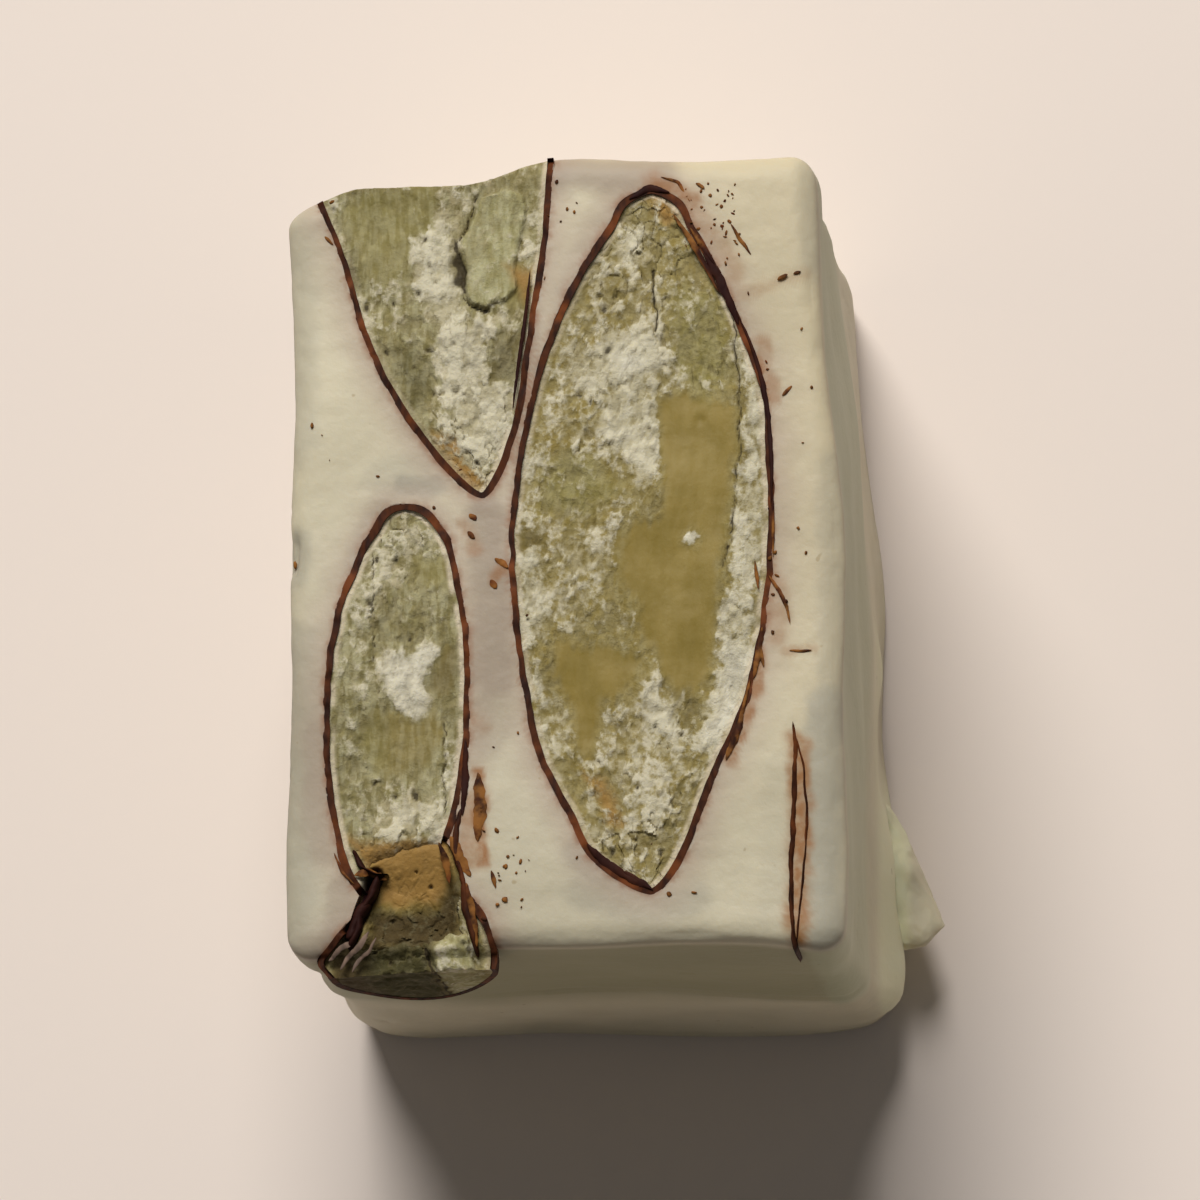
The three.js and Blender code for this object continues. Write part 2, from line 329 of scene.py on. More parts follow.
def block_relief(place, outward):
    """How far each point of the block is pushed out. Most lines read: depth in millimetres, times noise of a
    size in millimetres and a seed."""
    x, y, z = np.moveaxis(place, -1, 0)
    on_top = smoothstep(outward[..., 2], 0.3, 0.9)
    on_wall = 1 - on_top
    dents = 0.09 * smooth_noise(place, 5.5, 11) * on_wall
    lumps = 0.035 * rough_noise(place, 1.7, 12, 2)
    grain = 0.008 * smooth_noise(place, 0.4, 14)
    drag = 0.012 * smooth_noise(place * [0.22, 1, 1], 0.55, 15) * on_top
    edge = np.clip(1 - np.abs(np.max(np.abs(outward), axis=-1) - 0.75) / 0.25, 0, 1)
    nicks = -0.06 * edge * np.clip(smooth_noise(place, 0.8, 16), 0, 1)
    near, _, random = scatter(place, 2.1, 17)
    radius = 0.12 + 0.2 * random[..., 1]
    pits = -0.13 * (random[..., 0] > 0.8) * (1 - smoothstep(near, 0.3 * radius, radius)) * (1 - 0.7 * on_top)
    ridge = np.abs(smooth_noise(place * [1, 1, 0.8], 6.5, 18))
    creases = -0.05 * (1 - smoothstep(ridge, 0, 0.025)) * on_wall
    creases = creases * smoothstep(smooth_noise(place, 5, 19), 0, 0.3)
    line = FRONT_CREASE + 0.25 * swell(x, y, 2.3)
    at_front = smoothstep(-outward[..., 1], 0.4, 0.9) * smoothstep(x, -4.5, -2.5)
    fold = np.exp(-(((z - line) / 0.3) ** 2)) + 0.4 * (1 - smoothstep(z, line - 1.4, line))
    relief = dents + lumps + grain + drag + nicks + pits + creases - 0.13 * at_front * fold
    for cx, cy, cz, size, depth in CHIPS:
        gap = np.linalg.norm(place - [cx, cy, cz], axis=-1)
        relief = relief - depth * np.exp(-((gap / size) ** 2))
    return relief * smoothstep(z, 0, 0.9)


def cut_face_height(x, y):
    """How high the cut face lies at a place, with its swell, its relief and its rounded rim."""
    place = np.stack([x, y, np.full(np.shape(x), HEIGHT)], axis=-1)
    outward = np.zeros(place.shape)
    outward[..., 2] = 1
    past = np.clip((np.abs(place[..., :2]) - HALF[:2]) / EDGE_RADII[:2] + 1, 0, 1)
    drop = EDGE_RADII[2] * (1 - np.sqrt(1 - np.clip(np.sum(past**2, axis=-1), 0, 0.85)))
    return settle_walls(place)[..., 2] + block_relief(place, outward) - drop


rounded, outwards = round_edges(sharp_block())
settled = settle_walls(rounded)
block_grid = settled + outwards * block_relief(rounded, outwards)[..., None]
block_grid[-BASE_RINGS:, :, 2] = 0
nougat = make_piece("nougat", [block_grid])

# %% [markdown]
# ## The torn flap
# The neighbouring piece stuck to this one, and when they were pulled apart a beak of nougat tore out of it
# and stayed. Its section is a flat closed loop that is carried from the wall to the tip, where it shrinks
# to a line.

# %% The flap
FLAP_BACK_LINE = ((8.0, -3.6), (9.8, -4.4), (11.0, -8.1), (11.9, -10.0))
FLAP_FRONT_LINE = ((8.0, -11.1), (9.9, -10.7), (10.6, -10.75), (11.15, -10.7))
FLAP_THICKNESS = 1.25
FLAP_THINNING = 0.62
FLAP_HEIGHT = 2.35
FLAP_RISE = 0.9
FLAP_SQUARENESS = 0.7
FLAP_FRAY = 0.2


def squared(wave, power):
    """A sine or cosine whose loop bulges towards a square the more, the smaller the power is."""
    return np.sign(wave) * np.abs(wave) ** power


def along(line, shares):
    """Points along a line of given points, with the corners rounded off by a cubic Bezier curve."""
    a, b, c, d = np.array(line, float)
    s = np.asarray(shares)[..., None]
    return a * (1 - s) ** 3 + 3 * b * s * (1 - s) ** 2 + 3 * c * s**2 * (1 - s) + d * s**3


def flap_grid():
    """Across the flap the section goes from the back line to the front line and back again underneath. It
    grows thinner and rises towards the tip, and ragged noise frays it."""
    out = np.linspace(0, 1, 60) ** 0.9
    turn = np.linspace(0, 2 * np.pi, 110)
    back, front = along(FLAP_BACK_LINE, out), along(FLAP_FRONT_LINE, out)
    across = (1 - squared(np.cos(turn), FLAP_SQUARENESS)) / 2
    plan = back[:, None] + (front - back)[:, None] * across[None, :, None]
    closing = np.sqrt(np.clip(1 - out**8, 0, 1))
    thickness = FLAP_THICKNESS * (1 - FLAP_THINNING * out) * closing
    height = squared(np.sin(turn), FLAP_SQUARENESS) * thickness[:, None]
    middle = FLAP_HEIGHT + FLAP_RISE * out[:, None] + 0.25 * swell(plan[..., 0], plan[..., 1], 0.6)
    grid = np.concatenate([plan, (middle + height)[..., None]], axis=-1)
    fray = closing * smoothstep(out, 0, 0.25)
    push = np.stack([rough_noise(grid, 0.9, seed) for seed in (31, 41, 51)], axis=-1)
    grid = grid + FLAP_FRAY * push * fray[:, None, None]
    grid[0] = grid[0].mean(axis=0)
    grid[-1] = grid[-2].mean(axis=0)
    return grid


flap = make_piece("flap", [flap_grid()])
combine(nougat, [flap], "UNION")

# %% [markdown]
# ## The almonds' outlines
# Each almond was cut along its length, so its half is a slim oval on the cut face with a rounded belly
# below. One formula gives the pocket in the nougat, the skin and the kernel, each a layer of it, so they
# fit into each other. No real outline is a true oval: a wobble that belongs to the almond moves both edges
# in and out, and a second noise makes the skin thicker and thinner along its way.

# %% Almonds
KERNEL_EDGE = 0.09
SKIN_WIDTH = 0.19
FRONT_PROUD = 0.7
LID_HEIGHT = 1.6


class Almond:
    """An almond in its own frame: X across, Y along, Z up from the cut face."""

    def __init__(self, name, centre, size, fullness, turn, recess, seed, bend=0.0, bumps=()):
        """size is half the length, half the width and the depth. bend is how far the front tip is bent to
        the right, and bumps are (side, t, width in t, outward)."""
        self.name, self.centre, self.seed = name, np.array(centre), seed
        self.half_length, self.half_width, self.depth = size
        self.fullness, self.recess, self.bend, self.bumps = fullness, recess, bend, bumps
        self.turn = math.radians(turn)

    def stoutness(self, t):
        """Share of the full width at t, which runs from -1 at one tip to 1 at the other."""
        return np.clip(1 - t**2, 0, 1) ** self.fullness

    def along_edge(self, t, side, size, seed):
        """Noise along one edge (side 1 is the right one), which fades out at the tips."""
        where = np.stack([0 * t + 3.7 * side, t * self.half_length, 0 * t + self.seed], axis=-1)
        return rough_noise(where, size, seed + self.seed) * np.sqrt(self.stoutness(t))

    def shrink_at_tip(self, t):
        """1 nearly everywhere and 0 at the tips."""
        return 1 - (1 - self.stoutness(t)) ** 20

    def wobble(self, t, side):
        """How far the kernel's edge strays from its oval on one side."""
        own = 0
        for edge, at, width, out in self.bumps:
            own = own + (edge == side) * out * np.exp(-(((t - at) / width) ** 2))
        noise = 0.1 * self.along_edge(t, side, 1.9, 60) + 0.04 * self.along_edge(t, side, 0.6, 65)
        return noise + own * self.shrink_at_tip(t)

    def middle_line(self, t):
        """How far the almond's middle line is bent to the right."""
        return self.bend * np.clip(-t, 0, 1) ** 6

    def section(self, t, angle, layer=0.0, extra=0.0):
        """A point of the belly. angle is 0 at the right rim, pi at the left rim and pi / 2 at the deepest
        line. Layer 0 is the kernel's surface and layer 1 the pocket's wall, with the skin between them."""
        stout, lean = self.stoutness(t), np.cos(angle)
        edges = []
        for side, share in ((1, np.maximum(lean, 0)), (-1, np.maximum(-lean, 0))):
            uneven = 0.09 * self.along_edge(t, side, 1.1, 50) + 0.04 * self.along_edge(t, side, 0.4, 55)
            skin = SKIN_WIDTH + uneven
            edges.append(side * share * (self.wobble(t, side) + layer * skin * self.shrink_at_tip(t)))
        reach = (self.half_width + KERNEL_EDGE + extra) * stout
        x = reach * lean + edges[0] + edges[1] + self.middle_line(t)
        y = (self.half_length + KERNEL_EDGE + layer * SKIN_WIDTH + extra) * t + 0 * lean
        z = -self.recess - (self.depth + layer * SKIN_WIDTH + extra) * stout * np.sin(angle)
        return np.stack([x, y, z], axis=-1)

    def in_block(self, local):
        """From the almond's frame to the block's."""
        x, y, z = np.moveaxis(local, -1, 0)
        c, s = math.cos(self.turn), math.sin(self.turn)
        middle_x, middle_y = self.centre
        return np.stack([middle_x + x * c + y * s, middle_y - x * s + y * c, z + HEIGHT], axis=-1)

    def from_rim(self, place):
        """How far points of the block lie inside the kernel's left edge and inside its right edge."""
        c, s = math.cos(self.turn), math.sin(self.turn)
        dx, dy = place[..., 0] - self.centre[0], place[..., 1] - self.centre[1]
        t = np.clip((dx * s + dy * c) / self.half_length, -1, 1)
        reach = (self.half_width + KERNEL_EDGE) * self.stoutness(t)
        across = dx * c - dy * s - self.middle_line(t)
        return [reach + self.wobble(t, side) - side * across for side in (-1, 1)]

    def outline(self, layer=1.0, steps=160):
        """Both edges on the cut face as one list of points in the block's frame."""
        t = -np.cos(np.linspace(0, np.pi, steps))
        edges = [self.section(t, np.full(steps, angle), layer) for angle in (0, np.pi)]
        return self.in_block(np.concatenate(edges))


LARGE = Almond(
    "almond_large", (2.62, 0.5), (11.95, 4.22, 6.3), 0.76, 1.7, 0.1, 1, bend=0.65,
    bumps=((-1, -0.9, 0.08, 0.38), (-1, -0.62, 0.15, 0.2), (1, -0.7, 0.15, -0.22), (1, 0.42, 0.16, 0.25),
           (-1, 0.97, 0.05, 0.3), (1, 0.97, 0.05, 0.3)),
)
BACK = Almond(
    "almond_back", (-4.95, 14.6), (12.5, 3.75, 5.4), 0.82, -9.5, 0.16, 2,
    bumps=((1, -0.1, 0.14, 0.35), (1, -0.6, 0.2, -0.28), (-1, -0.3, 0.15, -0.3)),
)
SMALL = Almond(
    "almond_small", (-5.75, -5.15), (6.7, 2.2, 3.2), 0.45, 2.2, 0.08, 3,
    bumps=((-1, 0.87, 0.1, -0.25), (-1, 0.68, 0.12, -0.2)),
)
FRONT = Almond(
    "almond_front", (-5.2, -13.9), (2.6, 2.55, 7), 0.5, 0, 0.2, 4,
    bumps=((-1, 0.55, 0.25, -0.4), (-1, -0.02, 0.15, 0.4)),
)
ALMONDS = (LARGE, BACK, SMALL, FRONT)


def tip_spaced(steps, start=-1.0, end=1.0):
    """Values of t that crowd together at the tips, where the outline turns most."""
    angles = np.linspace(np.arccos(-start), np.arccos(-end), steps)
    return -np.cos(angles)


def pocket_cutter(almond, around=26):
    """The almond with its skin, and a lid that stands out of the cut face."""
    steps = int(15 * almond.half_length) + 20
    t = tip_spaced(steps)[:, None]
    angle = np.linspace(0, np.pi, around)[None, :]
    belly = almond.section(t + 0 * angle, angle + 0 * t, 1.0)
    rim_right = belly[:, :1]
    lid_left, lid_right = belly[:, -1:].copy(), rim_right.copy()
    lid_left[..., 2] = lid_right[..., 2] = LID_HEIGHT
    lid = lid_left + (lid_right - lid_left) * np.linspace(0, 1, 8)[None, :, None]
    grid = np.concatenate([belly, lid, rim_right], axis=1)
    grid[0], grid[-1] = grid[0, 0], grid[-1, 0]
    return make_piece("pocket_" + almond.name, [almond.in_block(grid)])


cutters = [pocket_cutter(almond) for almond in ALMONDS]

# %% [markdown]
# Between the small almond and the front one a piece broke out, and no skin is left there: one broken
# surface runs from the one to the other. Its rim is a closed loop that cuts both almonds' outlines.

# %% The break's rim
BREAK_RIM = (
    (-6.9, -10.5), (-5.7, -9.9), (-4.3, -9.6), (-3.75, -10.2), (-3.5, -11.2), (-3.35, -12.3), (-3.2, -13.2),
    (-4.2, -13.5), (-5.6, -13.4), (-6.9, -13.6), (-7.55, -13.3), (-7.2, -12.1), (-6.8, -11.1),
)
BREAK_DEPTH = 1.5


def closed_loop(corners, count):
    """Points spaced evenly along a closed line of corners, each eased by its neighbours."""
    points = spaced((*corners, corners[0]), count, endpoint=False)
    for _ in range(count // 12):
        points = (np.roll(points, 1, axis=0) + 2 * points + np.roll(points, -1, axis=0)) / 4
    return np.concatenate([points, points[:1]])


def break_cutter():
    """The loop as an upright prism that stands out of the cut face."""
    rim = closed_loop(BREAK_RIM, 90)
    middle = rim[:-1].mean(axis=0)
    rows = []
    for out, level in ((0, LID_HEIGHT), (1, LID_HEIGHT), (1, -BREAK_DEPTH), (0, -BREAK_DEPTH)):
        rows.append(np.column_stack([middle + (rim - middle) * out, np.full(len(rim), HEIGHT + level)]))
    return make_piece("pocket_break", [np.array(rows)])


cutters.append(break_cutter())
combine(nougat, cutters, "DIFFERENCE")
print("nougat:", len(nougat.data.polygons), "faces")

# %% [markdown]
# ## Zones of the broken kernels
# A knife doesn't slice an almond cleanly: it cracks along the knife, and nougat and crumbs smear over the
# break. So each kernel has waxy patches where it is smooth, chalky crusts, chips that stand up and dark
# hollows. A painter would lay them out by eye, and this table lists them: each zone is an outline of a few
# corners on the cut face. A point's share is worked out from its distance to the outline, after noise has
# pushed the point about a little.

# %% Zones
# waxy: smooth and ochre; green and warm: tints; haze, white and snow: thin, thick and the brightest chalk;
# dark: shaded; chip: stands up
ZONES = {
    "almond_large": {
        "haze": (
            (
                (1.0, 12.0), (3.1, 11.8), (3.5, 9.6), (3.3, 8.0), (4.3, 6.6), (3.3, 5.4), (3.3, 3.4),
                (2.6, 2.4), (1.6, 3.2), (0.4, 3.4), (-0.7, 5.0), (-0.2, 7.4), (0.0, 9.2),
            ),
            (
                (-1.5, 3.8), (-0.2, 3.4), (-0.3, 1.8), (1.5, 0.7), (1.7, -0.5), (0.8, -1.2), (2.3, -2.2),
                (2.1, -2.9), (0.2, -2.5), (-1.4, -3.0),
            ),
            (
                (-1.0, -4.4), (0.2, -5.3), (1.4, -4.9), (3.0, -4.4), (4.2, -5.2), (4.4, -8.0), (3.8, -10.4),
                (2.2, -10.2), (2.0, -8.6), (0.2, -6.8),
            ),
            ((0.5, -8.4), (3.6, -8.6), (2.8, -11.4), (2.0, -11.5), (1.0, -10.2)),
        ),
        "waxy": (
            (
                (3.2, 5.3), (4.7, 5.4), (5.7, 5.1), (5.9, 3.9), (5.6, 2.4), (5.4, 0.3), (5.2, -0.8),
                (5.1, -2.0), (5.0, -3.3), (4.8, -4.4), (4.4, -5.0), (3.8, -4.8), (3.4, -4.1), (3.0, -3.2),
                (2.5, -2.6), (2.5, -1.7), (1.9, -0.9), (1.8, 0.3), (2.4, 1.1), (3.2, 1.3), (3.4, 2.1),
                (3.3, 3.4),
            ),
            (
                (-0.2, -3.1), (1.4, -3.2), (2.5, -3.8), (2.1, -4.6), (1.2, -5.0), (0.9, -6.9), (0.4, -6.6),
                (0.1, -4.9), (-0.4, -4.1),
            ),
        ),
        "green": (
            ((3.6, 9.4), (5.4, 9.0), (5.9, 6.4), (4.8, 5.3), (3.6, 6.2)),
            ((-0.8, 3.4), (0.9, 3.6), (1.9, 2.2), (0.6, 1.4), (-0.9, 1.6)),
        ),
        "white": (
            (
                (1.5, 7.5), (3.0, 7.4), (3.3, 6.2), (3.0, 5.5), (3.2, 4.8), (3.4, 3.1), (2.5, 2.3),
                (2.3, 3.4), (1.5, 3.7), (1.2, 5.0), (0.3, 5.6), (0.2, 6.7),
            ),
            (
                (5.8, 7.4), (6.3, 7.0), (6.7, 5.0), (6.9, 2.4), (6.8, -0.4), (6.5, -3.0), (6.0, -5.2),
                (5.2, -7.0), (4.4, -6.6), (4.9, -5.0), (5.1, -3.6), (5.3, -1.4), (5.6, 0.4), (5.8, 2.2),
                (6.1, 4.0), (5.9, 5.6),
            ),
            ((2.0, 11.4), (2.9, 11.5), (2.9, 10.2), (2.0, 9.9)),
            ((-1.6, 0.2), (-0.8, 0.2), (-0.6, -1.8), (-1.2, -2.8), (-1.5, -1.6)),
            ((2.4, -4.9), (4.0, -5.0), (4.2, -6.8), (3.2, -6.4)),
            ((-1.4, -4.1), (-0.7, -4.3), (-0.2, -6.8), (-0.8, -6.6)),
        ),
        "snow": (
            ((4.1, 0.7), (4.45, 0.8), (4.7, 0.55), (4.5, 0.25), (4.1, 0.35)),
            ((5.5, -3.4), (6.3, -3.4), (5.9, -5.4), (5.2, -6.6), (4.7, -6.4), (5.2, -5.2)),
            ((1.7, 7.0), (2.6, 6.9), (2.7, 6.3), (1.9, 6.2)),
        ),
        "warm": (
            ((0.7, -7.5), (1.3, -7.8), (2.0, -9.4), (1.5, -9.3)),
            ((2.6, 13.0), (4.1, 13.0), (4.0, 11.8), (3.4, 11.5), (2.9, 12.2)),
        ),
        "dark": (
            ((-1.5, 1.1), (-0.7, 1.0), (-0.6, 0.2), (-1.5, 0.3)),
            ((4.2, -4.9), (4.5, -5.3), (4.3, -6.3), (4.0, -6.0)),
        ),
    },
    "almond_back": {
        "haze": (
            ((-6.4, 10.4), (-3.6, 11.0), (-3.6, 8.0), (-5.4, 7.7), (-6.4, 8.6)),
            ((-4.6, 7.4), (-2.5, 8.6), (-1.4, 8.4), (-1.8, 5.0), (-3.0, 2.6), (-4.4, 4.6)),
            ((-6.0, 12.9), (-3.4, 13.0), (-3.6, 11.8), (-5.2, 11.8)),
        ),
        "waxy": (
            (
                (-7.7, 12.2), (-6.4, 12.9), (-4.5, 12.9), (-4.4, 11.6), (-5.3, 11.2), (-5.5, 9.8),
                (-6.6, 9.5), (-7.1, 10.4),
            ),
            ((-2.2, 10.2), (-1.3, 10.2), (-1.3, 8.6), (-2.0, 8.6)),
        ),
        "green": (
            ((-8.2, 12.9), (-4.2, 13.2), (-4.2, 11.2), (-5.2, 9.4), (-6.8, 9.0), (-8.0, 11.0)),
            ((-6.6, 9.0), (-4.6, 9.6), (-4.2, 6.0), (-5.2, 5.0)),
            ((-3.7, 12.6), (-1.5, 12.6), (-1.6, 8.4), (-3.4, 8.8)),
        ),
        "white": (
            (
                (-5.4, 11.1), (-4.2, 12.1), (-3.8, 11.1), (-3.9, 10.0), (-3.7, 9.2), (-3.4, 8.5),
                (-2.7, 7.9), (-2.9, 7.1), (-3.2, 6.2), (-4.0, 6.2), (-4.3, 7.2), (-4.5, 8.1), (-5.2, 9.3),
            ),
            ((-4.0, 6.0), (-2.0, 6.2), (-1.9, 3.9), (-3.0, 2.8), (-4.1, 4.2)),
        ),
        "warm": (
            ((-4.6, 4.4), (-3.6, 4.0), (-2.6, 2.2), (-3.4, 2.4)),
            ((-2.0, 10.0), (-1.1, 10.0), (-1.2, 8.4)),
        ),
        "dark": (
            ((-2.7, 7.6), (-1.6, 7.8), (-1.5, 6.6), (-1.9, 5.9), (-2.6, 6.2)),
            ((-6.0, 7.2), (-5.1, 7.4), (-4.6, 5.6), (-5.3, 5.0)),
            ((-7.6, 10.6), (-7.0, 10.2), (-7.0, 9.4), (-7.5, 9.6)),
        ),
        "chip": (
            (
                (-2.9, 12.5), (-2.2, 12.8), (-1.4, 12.4), (-1.5, 11.0), (-1.8, 9.6), (-2.0, 8.9),
                (-2.6, 8.6), (-3.3, 8.9), (-3.4, 9.5), (-3.6, 10.4), (-3.4, 11.3),
            ),
        ),
    },
    "almond_small": {
        "haze": (
            ((-6.6, -0.2), (-5.6, 1.2), (-4.6, 0.8), (-5.0, -0.6), (-6.2, -1.6), (-6.7, -2.6)),
            ((-7.0, -8.0), (-4.0, -7.8), (-3.8, -9.8), (-6.6, -9.8)),
        ),
        "waxy": (
            (
                (-6.6, -5.3), (-4.5, -5.3), (-4.0, -5.9), (-4.3, -6.7), (-5.1, -7.3), (-5.7, -7.7),
                (-6.7, -7.5), (-6.8, -6.4),
            ),
            ((-4.1, -3.2), (-3.7, -3.2), (-3.8, -4.6), (-4.3, -4.8), (-4.8, -4.5), (-4.4, -3.8)),
            ((-5.2, -0.1), (-4.1, 0.0), (-4.0, -1.1), (-5.0, -1.2)),
        ),
        "green": (
            ((-5.3, 0.1), (-4.0, 0.2), (-3.9, -1.2), (-5.2, -1.3)),
            ((-7.2, -5.0), (-6.2, -5.0), (-6.2, -9.0), (-7.3, -9.0)),
            ((-5.9, -1.1), (-3.9, -1.1), (-3.9, -2.4), (-5.9, -2.4)),
        ),
        "white": (
            ((-7.2, -2.0), (-6.8, -2.0), (-6.7, -3.3), (-7.1, -3.3)),
            ((-5.6, 1.2), (-5.0, 1.3), (-4.8, 0.1), (-5.4, 0.0)),
            ((-5.8, -8.6), (-4.3, -8.2), (-4.2, -9.2), (-5.6, -9.5)),
            ((-4.1, -6.8), (-3.5, -6.6), (-3.8, -8.6), (-4.2, -8.4)),
        ),
        "snow": (
            (
                (-6.2, -3.3), (-5.4, -3.2), (-4.7, -2.9), (-4.3, -3.2), (-4.6, -3.9), (-4.8, -4.6),
                (-4.5, -5.1), (-5.1, -5.6), (-5.7, -5.2), (-5.8, -4.6), (-6.2, -4.3), (-6.4, -3.8),
            ),
        ),
        "warm": (((-7.6, -9.7), (-6.4, -9.8), (-5.4, -9.7), (-4.0, -9.7), (-3.8, -11.4), (-6.2, -11.5)),),
        "dark": (((-4.1, -3.3), (-3.7, -3.2), (-3.8, -4.6), (-4.3, -4.8), (-4.8, -4.5), (-4.4, -3.8)),),
    },
    "almond_front": {
        "waxy": (((-4.0, -13.1), (-3.4, -13.2), (-3.2, -13.9), (-3.8, -13.9)),),
        "green": (
            ((-6.8, -13.3), (-4.6, -13.2), (-4.5, -16.0), (-6.9, -16.0)),
            ((-4.3, -13.1), (-3.2, -13.2), (-3.1, -14.2), (-4.3, -14.2)),
        ),
        "white": (
            ((-4.7, -13.5), (-4.0, -13.0), (-3.3, -13.1), (-3.0, -14.2), (-4.4, -14.3)),
            ((-4.5, -14.5), (-2.4, -14.3), (-2.2, -15.4), (-4.5, -15.4)),
        ),
        "dark": (((-8.0, -13.0), (-4.6, -13.0), (-4.5, -16.0), (-8.0, -16.0)),),
        "chip": (((-4.7, -13.5), (-4.1, -13.0), (-3.3, -13.1), (-3.1, -14.2), (-4.4, -14.3)),),
    },
    "almond_break": {
        "waxy": (((-6.7, -9.8), (-5.4, -9.8), (-4.0, -9.8), (-3.6, -11.2), (-4.2, -12.3), (-6.5, -12.2)),),
        "white": (((-4.2, -13.2), (-3.3, -13.0), (-3.2, -13.5), (-4.3, -13.5)),),
        "warm": (((-6.9, -9.7), (-4.1, -9.5), (-3.8, -10.6), (-4.3, -12.0), (-6.4, -11.9)),),
        "dark": (
            (
                (-6.7, -12.3), (-4.4, -12.1), (-4.0, -11.0), (-3.6, -11.0), (-3.5, -12.9), (-3.9, -13.2),
                (-4.5, -13.6), (-6.9, -13.6),
            ),
        ),
    },
}
SOFTNESS = {
    "waxy": 0.24,
    "white": 0.35,
    "snow": 0.3,
    "haze": 0.5,
    "green": 0.5,
    "warm": 0.3,
    "dark": 0.35,
    "chip": 0.05,
}
# The borders of these run out in short strokes along the almond, as its fibres do
FIBROUS = ("waxy", "haze", "white", "green")
# How much chalk each one adds or takes away
WHITENING = {"white": 0.4, "snow": 0.9, "haze": 0.3, "green": -0.12, "warm": -0.15, "chip": -0.1}
# Dark dots (x, y, radius), and cracks as a half width and a line: pits, sunk a little and darkened with
# painted shade
DOTS = {
    "almond_large": (
        (1.2, 9.1, 0.16), (1.7, 8.9, 0.12), (1.4, 8.5, 0.2), (1.9, 8.3, 0.1), (1.5, 7.2, 0.2),
        (0.4, 5.4, 0.22), (0.9, 5.2, 0.14), (2.8, 4.3, 0.14), (4.0, -6.3, 0.13), (1.6, -10.2, 0.16),
        (3.2, -10.3, 0.12), (3.1, -6.0, 0.08), (2.6, 10.5, 0.1), (1.2, -0.6, 0.08), (2.4, -8.0, 0.1),
    ),
    "almond_back": (
        (-6.84, 8.7, 0.2), (-5.95, 8.7, 0.12), (-5.06, 9.2, 0.17), (-4.98, 8.2, 0.12), (-4.66, 7.3, 0.14),
        (-6.2, 7.2, 0.14), (-4.5, 5.6, 0.15), (-3.77, 5.85, 0.16), (-5.7, 7.6, 0.1), (-5.2, 6.6, 0.1),
        (-4.9, 11.0, 0.1), (-4.6, 10.0, 0.1), (-3.0, 3.2, 0.12),
    ),
    "almond_small": (
        (-5.9, -8.3, 0.16), (-5.1, -8.2, 0.22), (-6.6, -7.9, 0.12), (-6.5, -0.2, 0.16), (-5.8, 0.0, 0.14),
        (-6.6, -1.6, 0.18), (-5.3, -2.9, 0.12), (-6.4, -4.6, 0.12), (-4.9, -2.5, 0.1),
    ),
    "almond_front": (
        (-6.0, -13.9, 0.12), (-5.2, -13.7, 0.1), (-5.6, -14.4, 0.14), (-3.4, -13.5, 0.14),
        (-4.7, -14.2, 0.14), (-6.5, -13.6, 0.1),
    ),
    "almond_break": ((-5.1, -10.9, 0.08), (-4.6, -11.3, 0.1), (-5.9, -12.6, 0.1)),
}
CRACKS = {
    "almond_large": (
        (0.04, ((3.0, 9.8), (3.15, 8.7), (3.05, 7.5))),
        (0.035, ((5.75, 8.2), (5.95, 6.0), (5.95, 4.0), (5.75, 1.5), (5.5, -0.5))),
    ),
    "almond_back": (
        (0.05, ((-3.1, 12.6), (-3.4, 11.6), (-3.72, 10.85))), (0.24, ((-3.7, 10.2), (-3.6, 9.6))),
        (0.08, ((-3.75, 11.0), (-3.6, 9.7), (-3.45, 9.2))),
        (0.06, ((-3.5, 9.0), (-3.3, 8.75), (-2.5, 8.47))),
    ),
    "almond_small": (
        (0.02, ((-6.7, 0.2), (-6.5, -1.4), (-6.6, -3.6))),
        (0.03, ((-4.05, -5.6), (-4.1, -9.0))),
    ),
    "almond_front": ((0.08, ((-4.9, -13.4), (-4.6, -14.0), (-4.4, -14.5))),),
    "almond_break": ((0.08, ((-3.55, -11.3), (-3.6, -12.4), (-3.4, -13.3))),),
}
# How chalky, dusty, smooth and dark in the dark zones, and the cream rim along the left and the right edge
TEMPERS = {
    "almond_large": (0.1, 0.35, 1.0, 0.5, 0.5, 0.8),
    "almond_back": (0.22, 0.9, 0.5, 0.4, 0.2, 0.8),
    "almond_small": (0.1, 1.0, 0.6, 0.4, 0.8, 1.0),
    "almond_front": (0.05, 0.5, 0.5, 0.9, 0.0, 0.4),
    "almond_break": (0.0, 0.1, 0.6, 0.9, 0.0, 0.0),
}


def from_line(x, y, line):
    """Distance to a line of points in the plane of the cut face."""
    nearest = np.full(np.shape(x), 99.0)
    for (ax, ay), (bx, by) in itertools.pairwise(line):
        run, rise = bx - ax, by - ay
        share = np.clip(((x - ax) * run + (y - ay) * rise) / (run**2 + rise**2), 0, 1)
        nearest = np.minimum(nearest, np.hypot(x - ax - share * run, y - ay - share * rise))
    return nearest


def depth_inside(x, y, outline):
    """Distance to an outline, negative outside it. A point is inside where a ray from it crosses the outline
    an odd number of times."""
    closed = (*outline, outline[0])
    inside = np.zeros(np.shape(x), bool)
    for (ax, ay), (bx, by) in itertools.pairwise(closed):
        if ay != by:
            inside ^= ((ay > y) != (by > y)) & (x < (bx - ax) * (y - ay) / (by - ay) + ax)
    return from_line(x, y, closed) * np.where(inside, 1, -1)


def zone(x, y, outlines, soft):
    """1 inside any of the outlines and 0 outside, with a border as wide as soft on both sides."""
    shares = [smoothstep(depth_inside(x, y, outline), -soft, soft) for outline in outlines]
    return np.max(shares, axis=0) if shares else np.zeros(np.shape(x))


print("zones:", {name: sum(len(outlines) for outlines in zones.values()) for name, zones in ZONES.items()})

